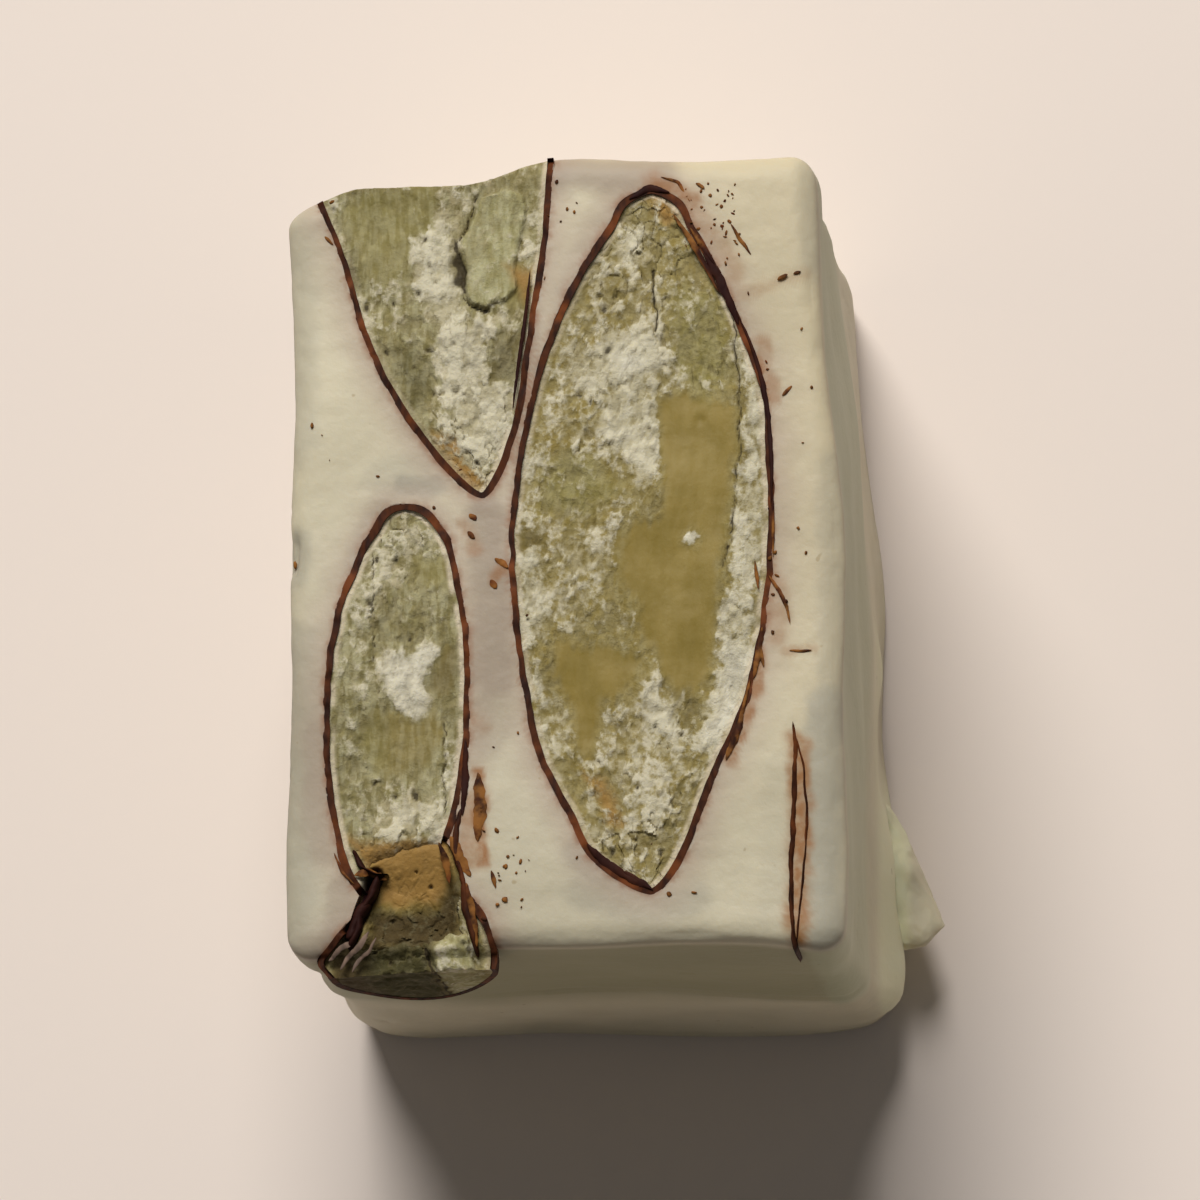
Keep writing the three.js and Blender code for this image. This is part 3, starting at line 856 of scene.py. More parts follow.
# %% [markdown]
# The break is one function of the place: it falls from the small almond's crust into a hollow, and ends at
# the front almond's pitted mass. A slit beside it is all that shows of the front almond's skin on that
# side. Kernels and skins that reach under the break are sunk, so that only its own surface shows.

# %% The break's depth
SLIT = ((-6.5, -10.95), (-6.9, -12.0), (-7.3, -13.1))
SUNK_KERNEL = 0.5
SUNK_SKIN = 1.5


def hole(x, y):
    """How deep the hollow of the break is. It starts on the small almond, is deepest in the middle, and ends
    at the front one's pitted mass. The slit beside it is a groove along its line."""
    down = smoothstep(-y, 9.9, 11.8)
    up = 1 - 0.7 * smoothstep(-y, 12.8, 13.5)
    across = 1 - smoothstep(np.abs(x + 5.25), 1.2, 1.8)
    return 0.45 * down * up * across + 0.3 * (1 - smoothstep(from_line(x, y, SLIT), 0.12, 0.33))


def under_break(x, y, far):
    """0 outside the break's rim, and 1 from as far inside it as told."""
    return smoothstep(depth_inside(x, y, BREAK_RIM), -0.1, far)


print("hole:", float(hole(np.float64(-5.2), np.float64(-12.2))), "mm deep")

# %% [markdown]
# ## The kernels
# The zones and a mottle of noise become fields: waxy, chalk, pits and tints. They raise the surface and are
# stored for the material, so colour and shape agree.


# %% Fields on a broken kernel
def flakes_of(place, size, seed):
    """A surface broken into flakes: a random tone for each one, and 1 in the crevices along some of them."""
    push = np.stack([rough_noise(place, 0.7 * size, seed + s, 2) for s in (1, 2, 3)], axis=-1)
    near, second, kind = scatter((place + 0.3 * size * push) * [1, 0.75, 1], size, seed)
    crevice = (1 - smoothstep(second - near, 0.03 * size, 0.2 * size)) * (kind[..., 1] > 0.75)
    return kind[..., 0], crevice


def kernel_fields(name, seed, place, from_rim=(9, 9)):
    """The shares, each from 0 to 1, at points of a kernel. from_rim holds their distances to both edges."""
    chalk, dust, smooth, gloom, *rims = TEMPERS[name]
    stray = [rough_noise(place, 0.8, seed + s, 4) for s in (0, 1)]
    x, y = place[..., 0] + 0.28 * stray[0], place[..., 1] + 0.34 * stray[1]
    fibres = 0.34 * smooth_noise(place * [1, 0.2, 1], 0.26, seed + 12)
    fields = {kind: zone(x, y + fibres * (kind in FIBROUS), ZONES[name].get(kind, ()), soft)
              for kind, soft in SOFTNESS.items()}
    fields["waxy"] = smooth * fields["waxy"] * (1 - fields["snow"])
    large_tone, large_crevice = flakes_of(place, 0.8, seed + 20)
    tone, crevice = flakes_of(place, 0.33, seed + 30)
    fields["tone"] = 0.5 * large_tone + 0.5 * tone
    mottle = rough_noise(place * [1, 0.7, 1], 1.3, seed + 2, 3)
    level = chalk + 0.5 * mottle + 0.35 * (fields["tone"] - 0.5)
    for kind, whitening in WHITENING.items():
        level = level + whitening * fields[kind]
    fields["chalk"] = np.clip(level - 1.1 * fields["waxy"] - 0.6 * fields["dark"], -0.6, 1)
    fields["dark"] = gloom * fields["dark"]
    broken = smoothstep(rough_noise(place, 0.9, seed + 15, 2), -0.45, 0.0)
    edges = [strength * (1 - smoothstep(gap, 0.1, 0.24)) for strength, gap in zip(rims, from_rim)]
    fields["rim"] = np.maximum(*edges) * broken + 0 * x
    near, _, kind = scatter(place, 0.6, seed + 4)
    radius = 0.05 + 0.09 * kind[..., 1]
    pitted = kind[..., 0] < 0.08 + 0.3 * fields["dark"] * fields["green"]
    pit = 0.7 * pitted * (1 - smoothstep(near, 0.3 * radius, radius))
    pit = np.maximum(pit, np.maximum(0.4 * large_crevice, 0.35 * crevice) * (1 - 0.5 * fields["dark"]))
    pit = pit * (1 - fields["waxy"]) * (1 - 0.8 * fields["chip"])
    for cx, cy, radius in DOTS[name]:
        gap = np.hypot((x - cx) * 1.2, y - cy)
        pit = np.maximum(pit, 0.8 - 0.8 * smoothstep(gap, 0.4 * radius, 1.3 * radius))
    for width, line in CRACKS[name]:
        gap = from_line(x, y, line)
        pit = np.maximum(pit, 0.85 - 0.85 * smoothstep(gap, 0.5 * width, 1.8 * width))
    fields["pit"] = pit
    fields["dust"] = np.full(np.shape(x), dust)
    fields["slit"] = 1 - smoothstep(from_line(place[..., 0], place[..., 1], SLIT), 0.12, 0.36)
    return fields


def kernel_height(seed, place, fields):
    """How high a broken kernel stands over its rim: slow lumps, flakes, the crust, its crumbs and pits."""
    rough = (1 - 0.92 * fields["waxy"]) * (1 - 0.7 * fields["chip"]) * (1 - 0.5 * fields["snow"])
    lumps = 0.16 * smooth_noise(place, 2.6, seed + 5)
    flakes = (0.14 + 0.12 * fields["dark"] - 0.05 * fields["dust"]) * (fields["tone"] - 0.5) * rough
    crust = smoothstep(fields["chalk"], 0.1, 0.8) * (0.05 + 0.035 * smooth_noise(place, 0.33, seed + 7))
    near, _, kind = scatter(place, 0.42, seed + 8)
    dome = np.clip(1 - (near / (0.08 + 0.12 * kind[..., 1])) ** 2, 0, 1) * (kind[..., 0] > 0.6)
    crumb = (0.1 - 0.06 * fields["dust"]) * dome * rough
    grain = 0.05 * rough_noise(place, 0.4, seed + 9, 2) * rough
    grain = grain + 0.05 * fields["dust"] * smooth_noise(place * [1, 0.25, 1], 0.3, seed + 10)
    relief = lumps + flakes + crust + crumb + grain - 0.05 + 0.22 * fields["chip"] - 0.13 * fields["pit"]
    return relief - 0.1 * fields["dark"]


# %% [markdown]
# A kernel is a purse: one grid is the broken top, one is the belly, and they meet in the rim. Two of the
# almonds were cut through by the knife that made the wall. Their rows run from the tip to that wall, and a
# third grid closes the purse there. Where each row ends is found by stepping towards the wall a few times.


# %% Kernels
END_ROWS = 50


def wall_y(x, z, to_back):
    """Where the back wall (to_back 1) or the front wall (-1) lies at x and z."""
    swelling = WALL_SWELL * swell(x, z, SWELL_SIZE) * to_back
    to_right, height = np.clip(x / HALF[0], -1, 1), np.clip(z / HEIGHT, 0, 1)
    return to_back * HALF[1] + swelling + back_and_front(x, to_right, to_back, height)


def end_at_wall(almond, surface, columns, to_back, proud=0.0):
    """The t of each column at which the surface meets the wall, or stands proud of it."""
    t = np.full(columns, -0.1 * to_back)
    for _ in range(8):
        local = surface(t)
        x, _, z = np.moveaxis(almond.in_block(local), -1, 0)
        y = wall_y(x, z, to_back) + proud * to_back - almond.centre[1]
        t = (y + local[..., 0] * math.sin(almond.turn)) / math.cos(almond.turn) / almond.half_length
    return t


def rows_to_wall(ends, to_back, steps):
    """Values of t from the tip inside the block, where they crowd together, to the wall."""
    share = 1 - np.cos(np.linspace(0, np.pi / 2, steps))
    return lerp(-float(to_back), ends[None, :], share[:, None])


def top_surface(almond, t, u):
    """The flat top before its relief: straight across from the left edge, u = -1, to the right one, u = 1."""
    right = almond.section(t, 0 * t)
    left = almond.section(t, 0 * t + np.pi)
    return left + (right - left) * ((u + 1) / 2)[..., None]


def end_surface(almond, top_edge, belly_edge, to_back, proud):
    """The broken end of a cut kernel: straight down from the top's last row to the belly's, then pushed out
    to the wall and roughened, but not at its edges."""
    share = np.linspace(0, 1, END_ROWS)[:, None, None]
    end = top_edge + (belly_edge - top_edge) * share
    u = np.linspace(-1, 1, len(top_edge))
    inner = np.sqrt(np.sin(np.pi * share[..., 0]) * (1 - u**2)[None, :])
    relief = 0.3 * rough_noise(end, 1.6, 90 + almond.seed, 4) + 0.15 * rough_noise(end, 0.5, 95, 2)
    to_wall = wall_y(end[..., 0], end[..., 2], to_back) + proud * to_back - end[..., 1]
    end[..., 1] += (to_wall + relief) * inner
    return end


def make_kernel(almond, across, steps, below=24, to_back=0, proud=0.0):
    """Top and belly grids, and an end grid for a kernel that a wall cuts."""
    grids = []
    for columns, flat in ((across, True), (across if to_back else below, False)):
        u = np.linspace(-1, 1, columns)

        def surface(t):
            if flat:
                return top_surface(almond, t, 0 * t + u)
            return almond.section(t, 0 * t + (1 - u) * np.pi / 2)

        if to_back:
            t = rows_to_wall(end_at_wall(almond, surface, columns, to_back, proud), to_back, steps)
        else:
            t = tip_spaced(steps)[:, None] + 0 * u
        grids.append(almond.in_block(surface(t)))
        if flat:
            inside = (1 - u**10) * (1 - np.abs(np.clip(t, -1, 1)) ** 40)
    top, belly = grids
    seed = 70 + 10 * almond.seed
    fields = kernel_fields(almond.name, seed, top, almond.from_rim(top))
    top[..., 2] += kernel_height(seed, top, fields) * inside
    if to_back:
        grids.append(end_surface(almond, top[-1], belly[-1], to_back, proud))
    for grid in grids:
        rise = cut_face_height(grid[..., 0], grid[..., 1]) - HEIGHT
        near_top = smoothstep(grid[..., 2], HEIGHT - 3, HEIGHT - 0.6)
        sunk = hole(grid[..., 0], grid[..., 1]) + SUNK_KERNEL * under_break(grid[..., 0], grid[..., 1], 0.9)
        grid[..., 2] += (rise - sunk) * near_top
    kernel = make_piece(almond.name + "_kernel", grids)
    place = points_of(kernel)
    place[:, 2] = HEIGHT - almond.recess - np.clip(HEIGHT - 0.6 - place[:, 2], 0, None)
    give_values(kernel, **kernel_fields(almond.name, seed, place, almond.from_rim(place)))
    shade(kernel, 60)
    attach(kernel, "root")
    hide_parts(almond.name)
    return kernel


kernels = [
    make_kernel(LARGE, 128, 330),
    make_kernel(BACK, 112, 170, to_back=1),
    make_kernel(SMALL, 70, 210, below=18),
    make_kernel(FRONT, 90, 66, to_back=-1, proud=FRONT_PROUD),
]

# %% [markdown]
# The broken surface between the two almonds gets a mesh of its own: rings that shrink from the rim to a
# pole, at the depth of the hollow, with the same flakes and zones. At its rim it dives under its
# neighbours.

# %% The broken surface
BREAK_SEED = 120
BREAK_RECESS = 0.12
BREAK_RINGS = 60


def break_grid():
    """The top runs from its pole to the rim, then the grid turns down and closes in a pole below."""
    rim = closed_loop(BREAK_RIM, 170)
    middle = rim[:-1].mean(axis=0)
    out = np.linspace(0, 1, BREAK_RINGS)[:, None]
    plan = middle + (rim - middle) * out[..., None]
    x, y = plan[..., 0], plan[..., 1]
    place = np.stack([x, y, 0 * x + HEIGHT - BREAK_RECESS], axis=-1)
    relief = kernel_height(BREAK_SEED, place, kernel_fields("almond_break", BREAK_SEED, place))
    z = cut_face_height(x, y) - BREAK_RECESS - hole(x, y) + relief * (1 - out**10) - 0.3 * out**10
    top = np.stack([x, y, z], axis=-1)
    foot = np.column_stack([rim, np.full(len(rim), HEIGHT - BREAK_DEPTH)])
    pole = np.broadcast_to([*middle, HEIGHT - BREAK_DEPTH], foot.shape)
    top[0, :, 2] = top[0, :, 2].mean()
    return np.concatenate([top, [foot, pole]])


broken = make_piece("almond_break_kernel", [break_grid()])
place = points_of(broken)
place[:, 2] = HEIGHT - BREAK_RECESS
give_values(broken, **kernel_fields("almond_break", BREAK_SEED, place))
shade(broken, 60)
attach(broken, "root")
kernels.append(broken)

# %% [markdown]
# ## The brown skins
# Between kernel and nougat lies the almond's papery skin, and the knife leaves it as a thin dark line with
# a ragged edge. Each skin is a bowl with a wall: an outer and an inner surface from the same formula as the
# almond, one just inside the nougat and one just inside the kernel. Their upper edges are drawn up to the
# cut face and frayed, and strips close the gap between them.

# %% Skins
SKIN_COLUMNS = 27
RISE_COLUMNS = 3


def skin_surface(almond, t, layer, extra, fray):
    """Rows along t. A row comes down from the left rim, goes round the belly and up to the right rim."""
    angle = np.linspace(np.pi, 0, SKIN_COLUMNS)
    belly = almond.in_block(almond.section(t + 0 * angle, angle + 0 * t, layer, extra))
    sunk = SUNK_SKIN * under_break(belly[..., 0], belly[..., 1], 0.15)
    belly[..., 2] = np.minimum(belly[..., 2], HEIGHT - sunk * (1 + 0.1 * layer))
    sides = []
    for edge, side, shares in ((0, -1, (1, 0.7, 0.35)), (-1, 1, (0.35, 0.7, 1))):
        foot = belly[:, edge, :]
        top = cut_face_height(foot[:, 0], foot[:, 1]) + fray(t[:, edge], side) - sunk[:, edge]
        lifted = np.repeat(foot[:, None], RISE_COLUMNS, axis=1)
        lifted[..., 2] += (top - foot[:, 2])[:, None] * np.array(shares)
        sides.append(lifted)
    return np.concatenate([sides[0], belly, sides[1]], axis=1)


def make_skin(almond, name, steps, to_back=0, proud=0.0):
    """Two bowls, just inside the nougat and just inside the kernel, and the strips that close the gap."""

    def fray(t, side):
        rim = np.clip((1 - t**2) * 12, 0, 1)
        where = np.stack([0 * t + side, t * almond.half_length, 0 * t + almond.seed], axis=-1)
        return (0.05 * smooth_noise(where, 0.35, 100) + 0.05 * smooth_noise(where, 1.1, 101)) * rim

    surfaces = []
    for layer, extra in ((1.0, 0.02), (0.0, 0.0)):
        if to_back:
            angle = np.linspace(np.pi, 0, SKIN_COLUMNS)

            def surface(t):
                return almond.section(t, angle, layer, extra)

            t = rows_to_wall(end_at_wall(almond, surface, SKIN_COLUMNS, to_back, proud), to_back, steps)
        else:
            t = tip_spaced(steps)[:, None] + np.zeros(SKIN_COLUMNS)
        surfaces.append(skin_surface(almond, t, layer, extra, fray))
    outer, inner = surfaces
    grids = [outer, inner]
    for edge in (0, -1):
        grids.append(np.stack([outer[:, edge], inner[:, edge]], axis=1))
    if to_back:
        grids.append(np.stack([outer[-1], inner[-1]], axis=1))
    skin = make_piece(name, grids)
    shade(skin, 50)
    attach(skin, "root")
    return skin


skins = [
    make_skin(LARGE, "skin_large", 300),
    make_skin(BACK, "skin_back", 200, to_back=1),
    make_skin(SMALL, "skin_small", 220),
    make_skin(FRONT, "skin_front", 90, to_back=-1, proud=0.72),
]

# %% [markdown]
# A fifth almond lies just under the right side, and only the edge of its skin shows: one thin line at the
# back that splits into two towards the front. Both are wavy leaves that stick in the nougat and end just
# above it.

# %% The fifth almond's skin
LEAF_DEPTH = 3.0
LEAF_STEPS = 120
LEAF_SQUARENESS = 0.35
# half thickness in millimetres and a line
LEAF_LINES = (
    (
        0.18,
        (
            (7.76, -5.7), (7.88, -6.6), (7.82, -7.8), (7.8, -9.2), (7.7, -10.6), (7.7, -12.0),
            (7.76, -13.0), (7.82, -13.76),
        ),
    ),
    (
        0.09,
        (
            (7.9, -6.3), (8.15, -7.4), (8.26, -8.8), (8.22, -10.0), (8.12, -11.2), (7.98, -12.4),
            (7.9, -13.4),
        ),
    ),
)
# What is left of the skins beside the break
BREAK_SKIN_DEPTH = 1.2
BREAK_SKIN_LINES = (
    (
        0.16,
        (
            (-3.5, -8.6), (-3.7, -9.5), (-3.72, -10.3), (-3.45, -11.2), (-3.35, -12.2), (-3.15, -13.0),
            (-3.0, -13.8),
        ),
    ),
    (0.12, ((-7.25, -10.1), (-6.95, -10.7), (-6.5, -10.95), (-6.1, -10.95))),
    (0.13, ((-6.4, -11.0), (-6.6, -11.7), (-7.0, -12.2), (-7.05, -12.8), (-7.4, -13.5))),
    (0.2, ((-6.8, -11.9), (-7.05, -12.3), (-7.25, -12.8), (-7.4, -13.2))),
)


def polyline(corners, count):
    """Points spaced evenly along a line of corners, with each corner eased by its neighbours."""
    points = spaced(corners, count)
    for _ in range(count // 8):
        points[1:-1] = (points[:-2] + 2 * points[1:-1] + points[2:]) / 4
    return points


def leaf_grid(corners, thickness, depth, seed):
    """A closed leaf: its section is a narrow upright loop, carried along the line."""
    middle = polyline(corners, LEAF_STEPS)
    loop = np.linspace(0, 2 * np.pi, 17)
    where = np.concatenate([middle, np.full((LEAF_STEPS, 1), float(seed))], axis=1)
    share = np.linspace(-1, 1, LEAF_STEPS)
    half = thickness * np.clip(1 - share**8, 0, 1) ** 0.5 * (1 + 0.6 * rough_noise(where, 0.6, seed))
    top = cut_face_height(middle[:, 0], middle[:, 1]) + 0.07 + 0.04 * rough_noise(where, 0.5, seed + 3)
    top = top - 0.12 * np.abs(share) ** 10
    x = middle[:, :1] + 0.05 * rough_noise(where, 0.8, seed + 6)[:, None] + half[:, None] * np.cos(loop)
    reach = (squared(np.sin(loop), LEAF_SQUARENESS) + 1) / 2
    z = HEIGHT - depth + (top[:, None] + depth - HEIGHT) * reach
    return np.stack([x, middle[:, 1:] + 0 * x, z], axis=-1)


def make_leaves(name, lines, depth, seed):
    """One piece of a leaf for each line."""
    grids = [leaf_grid(line, thickness, depth, seed + 10 * i) for i, (thickness, line) in enumerate(lines)]
    leaves = make_piece(name, grids)
    shade(leaves)
    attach(leaves, "root")
    return leaves


leaf = make_leaves("skin_leaf", LEAF_LINES, LEAF_DEPTH, 121)
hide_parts("skin_edge")
rolled = make_leaves("skin_break", BREAK_SKIN_LINES, BREAK_SKIN_DEPTH, 161)
place = points_of(rolled)
give_values(rolled, thick=1 - smoothstep(place[:, 0], -6, -5))
skins += [leaf, rolled]

# %% [markdown]
# ## Stains, painted shade and painted light
# Oil and colour from the skins seep into the nougat, so it turns pinkish beside them, a little mauve
# between the almonds, and orange where a skin was dragged. Each stain is a number at each vertex of the
# nougat: the pink one is worked out from the distance to the nearest outline, the others from a few lines
# that bleed out sideways. Painted shade is stored the same way: a grey one from lines along the cut face's
# edges and beside some skins, one that darkens the cut face towards the lower left, and two on the upper
# front and right walls. Painted light makes the foot of the right wall and the flap pale.

# %% Stain, painted shade and painted light fields of the nougat
# strength, reach in millimetres, and a line
STAINS_AND_SHADE = {
    "orange": (
        (1.0, 0.26, ((-2.93, -7.6), (-2.88, -9.0), (-2.8, -10.6))),
        (0.6, 0.4, ((-3.2, -8.6), (-3.2, -10.6))),
        (0.8, 0.25, ((6.45, -3.1), (6.7, -4.0), (6.35, -5.4), (5.7, -7.2))),
        (0.7, 0.4, ((3.0, 12.9), (4.3, 12.3))), (0.35, 0.35, ((4.2, 12.1), (5.4, 10.8), (5.9, 9.6))),
        (0.4, 0.35, ((6.9, -0.4), (7.4, -1.6), (7.3, -2.9))), (0.5, 0.25, ((-3.5, 1.2), (-3.1, 0.2))),
        (0.6, 0.22, ((-2.5, -0.8), (-2.1, -0.4))), (0.3, 0.25, ((6.2, 9.0), (7.2, 9.3), (8.2, 9.6))),
        (0.6, 0.18, ((-0.2, -7.2), (0.4, -8.6), (1.0, -9.8))), (0.5, 0.15, ((2.2, 12.3), (1.3, 10.9))),
        (0.5, 0.3, ((6.75, 7.2), (7.1, 5.2))), (0.4, 0.2, ((7.6, -3.4), (8.4, -3.4))),
        (0.9, 0.42, ((7.95, -6.6), (8.02, -8.6), (7.98, -10.4), (7.88, -13.2))),
        (0.3, 0.3, ((-3.2, -5.6), (-2.8, -5.9))),
    ),
    "mauve": (
        (1.0, 0.75, ((-2.7, 1.4), (-2.5, -2.0), (-2.45, -4.4))), (0.6, 0.7, ((-2.45, -4.4), (-2.5, -6.4))),
        (0.7, 0.5, ((-7.6, -11.4), (-7.9, -13.2))), (0.5, 0.5, ((-8.6, -6.0), (-8.4, -10.2))),
        (0.6, 0.4, ((-1.2, 8.0), (-1.5, 3.4))), (0.3, 0.9, ((1.6, 12.4), (0.2, 9.2))),
        (0.9, 0.8, ((-0.2, 13.4), (3.2, 13.3))), (0.5, 0.6, ((-7.0, -0.2), (-6.3, 1.4))),
    ),
    # painted shade: grey along the edges of the cut face and beside some skins
    "grey_shade": (
        (1.0, 0.45, ((-5.6, 2.45), (-4.4, 2.5))), (0.4, 0.9, ((-6.2, 2.6), (-4.4, 3.2))),
        (0.7, 0.5, ((-9.2, 0.5), (-9.2, -0.6))), (0.5, 0.8, ((-9.3, 12.6), (-9.3, 4.0))),
        (0.6, 0.9, ((-9.3, -3.0), (-9.3, -13.6), (-7.0, -13.6))),
        (0.5, 0.6, ((0.5, -11.6), (2.6, -12.3), (4.5, -11.9))),
        (0.7, 0.5, ((0.4, -10.3), (1.2, -11.0), (2.2, -11.6))),
        (1.0, 0.75, ((9.0, -5.2), (8.8, -8.0), (8.9, -13.6))), (0.2, 0.6, ((7.3, -7.5), (7.2, -12.5))),
        (0.5, 0.6, ((9.2, 3.0), (9.1, -5.0))), (0.5, 0.8, ((8.7, 13.2), (8.8, 10.2))),
    ),
}
# place and size in millimetres
BRUISES = ((-9.4, 5.0, 13.0, 3.4), (3.0, 13.8, 9.0, 2.8))
SLICES = 24


def stain_and_shade(x, y, lines):
    """The strongest of the lines at each point. Each keeps its strength near the line and then fades, as ink
    does: strength times e to the minus fourth power of the distance over the reach."""
    shares = [strength * np.exp(-((from_line(x, y, line) / reach) ** 4)) for strength, reach, line in lines]
    return np.max(shares, axis=0)


def nearest_outline(x, y):
    """Distance to the closest point of any almond's outline, over whole arrays a slice at a time."""
    outlines = np.concatenate([almond.outline()[:, :2] for almond in ALMONDS])
    slices = []
    for xs, ys in zip(np.array_split(x, SLICES), np.array_split(y, SLICES)):
        slices.append(np.hypot(xs[:, None] - outlines[:, 0], ys[:, None] - outlines[:, 1]).min(axis=1))
    return np.concatenate(slices)


place = points_of(nougat)
x, y, z = place.T
on_top = smoothstep(z, HEIGHT - 1.4, HEIGHT - 0.5)
gap = nearest_outline(x, y)
stray = rough_noise(place, 1.2, 141)
frayed_x = x + 0.3 * rough_noise(place, 0.7, 143)
bruise = 0
for *middle, size in BRUISES:
    bruise = bruise + np.exp(-((np.linalg.norm(place - middle, axis=1) / size) ** 2))
give_values(
    nougat,
    pink=np.exp(-((gap / (0.8 + 0.35 * stray)) ** 2)) * on_top,
    rust=np.exp(-((gap / (0.13 + 0.12 * stray)) ** 2)) * on_top,
    cream=smoothstep(x + 0.35 * y + 2 * stray, 2, 9) * on_top,
    # painted shade: the cut face darker towards the lower left
    dull=smoothstep(-0.8 * x - y + 2 * stray, 1, 14) * on_top,
    bruise=bruise * smoothstep(rough_noise(place, 2.2, 142, 4), -0.3, 0.5),
    # painted shade: the upper front wall darker
    front=smoothstep(-y, 12.9, 13.3) * smoothstep(z, 9, 13) * (1 - on_top),
    # painted shade: the upper right wall darker
    side=smoothstep(x, 8.0, 8.4) * smoothstep(z, 7, 11) * (1 - on_top),
    # painted light: the lip along the foot of the right wall and the flap paler
    foot=smoothstep(x, 9.4, 9.8) * (1 - smoothstep(x, 10.3, 10.8)) * (1 - smoothstep(z, 6, 9)),
    **{name: stain_and_shade(frayed_x, y + 0.3 * stray, lines) * on_top for name, lines in STAINS_AND_SHADE.items()},
)
shade(nougat)
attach(nougat, "root")
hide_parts("nougat_block")
nougat.data.calc_loop_triangles()
print("nougat:", len(nougat.data.loop_triangles), "triangles")

# %% [markdown]
# ## Scraps of skin
# The knife also tore strips and crumbs off the skins and left them on the cut face. A strip is a flat loop
# carried along a line; a crumb is a flattened ball of a few dozen faces. They lie where the real ones lie,
# half sunk into the soft nougat, and a seeded draw scatters the finest crumbs. All of them are one piece.

# %% Strips and crumbs of skin
# width in millimetres and a line: thin scraps, thick dark ones, and pale ones that carry nougat
THIN_STRIPS = (
    (0.16, ((4.3, 11.3), (4.75, 10.6), (5.15, 10.0))), (0.13, ((5.7, 11.4), (6.0, 10.9), (6.4, 10.3))),
    (0.13, ((6.95, -0.8), (7.3, -1.3), (7.58, -1.9), (7.7, -2.5))),
    (0.12, ((7.67, -3.42), (8.05, -3.46), (8.43, -3.42))), (0.15, ((7.3, 9.42), (7.65, 9.6))),
    (0.12, ((7.85, 9.62), (8.1, 9.7))), (0.15, ((7.45, 5.4), (7.78, 5.75))),
    (0.36, ((-3.9, -9.7), (-3.6, -10.4), (-3.2, -11.1))),
    (0.24, ((-3.36, -11.3), (-3.15, -12.4), (-3.0, -13.5))), (0.14, ((-2.5, -10.9), (-2.35, -11.5))),
    (0.24, ((-4.3, -9.9), (-4.05, -10.6), (-3.95, -11.3))), (0.24, ((-2.4, -0.1), (-1.95, -0.45))),
    (0.22, ((-3.3, 1.45), (-3.05, 1.25))), (0.16, ((-3.35, 0.85), (-3.1, 0.6))),
    (0.2, ((-2.55, -0.85), (-2.35, -1.15))), (0.15, ((4.5, 12.85), (4.8, 12.65))),
    (0.14, ((6.65, -3.2), (6.8, -4.0))), (0.28, ((-7.2, -11.0), (-6.7, -10.85), (-6.1, -11.15))),
    (0.12, ((-8.3, 11.2), (-8.0, 10.9))), (0.12, ((6.5, -0.3), (6.62, -1.3))),
    (0.22, ((2.0, -10.95), (2.6, -11.35), (3.0, -11.6))), (0.1, ((7.1, 2.2), (7.14, 0.9), (7.12, -0.2))),
    (0.12, ((6.35, -4.4), (6.05, -5.6), (5.8, -6.4))), (0.12, ((3.3, 13.1), (3.9, 12.9), (4.3, 12.2))),
    (0.1, ((-7.9, -10.2), (-7.6, -10.9), (-7.2, -11.3))),
    (0.2, ((3.7, 11.8), (4.3, 10.9), (4.85, 9.9), (5.3, 9.0))),
    (0.42, ((-2.97, -7.5), (-2.9, -8.7), (-2.97, -9.9))), (0.24, ((6.1, -5.6), (5.85, -6.4), (5.5, -7.2))),
    (0.2, ((6.75, -2.6), (6.6, -3.6), (6.45, -4.4))),
)
DARK_STRIPS = (
    (0.16, ((5.95, 8.2), (6.4, 7.2), (6.75, 6.0), (6.98, 4.7), (7.1, 3.0), (7.05, 1.6))),
    (0.3, ((0.75, -10.0), (1.3, -10.6), (2.0, -11.1), (2.8, -11.5))),
    (0.25, ((-3.4, -6.4), (-3.4, -7.6), (-3.5, -9.0))),
    (0.32, ((4.75, 10.4), (5.3, 9.5), (5.75, 8.5), (5.95, 7.9))),
    (0.14, ((-1.2, 9.9), (-1.35, 8.2), (-1.6, 6.6), (-1.8, 5.0))),
    (0.22, ((2.2, 12.35), (2.9, 12.75), (3.6, 12.55))),
)
PALE_STRIPS = (
    (0.2, ((-7.0, -12.9), (-7.35, -13.3), (-7.8, -13.6), (-8.1, -13.9))),
    (0.2, ((-6.7, -12.9), (-7.0, -13.4), (-7.45, -13.8), (-7.7, -14.2))),
    (0.14, ((-6.45, -13.1), (-6.7, -13.6), (-7.1, -13.9), (-7.3, -14.3))),
)
# x, y and length in millimetres
CRUMBS = (
    (-2.32, -9.52, 0.22), (-2.0, -10.76, 0.2), (-1.5, -10.6, 0.22), (-2.04, -11.9, 0.22),
    (-1.46, -11.9, 0.15), (-2.29, -12.07, 0.15), (-2.75, -12.56, 0.26), (3.55, -11.75, 0.2),
    (4.4, -11.7, 0.22), (-8.7, 4.58, 0.22), (-0.7, 9.6, 0.15), (-0.3, 13.0, 0.16), (-8.05, 12.4, 0.2),
    (7.1, -2.8, 0.15), (-9.3, -0.2, 0.3), (5.0, 12.4, 0.15), (4.7, 12.0, 0.13), (5.5, 12.2, 0.12),
    (6.3, 8.97, 0.16), (-3.6, 3.0, 0.12), (6.9, 6.6, 0.14), (-1.3, -2.1, 0.12),
)
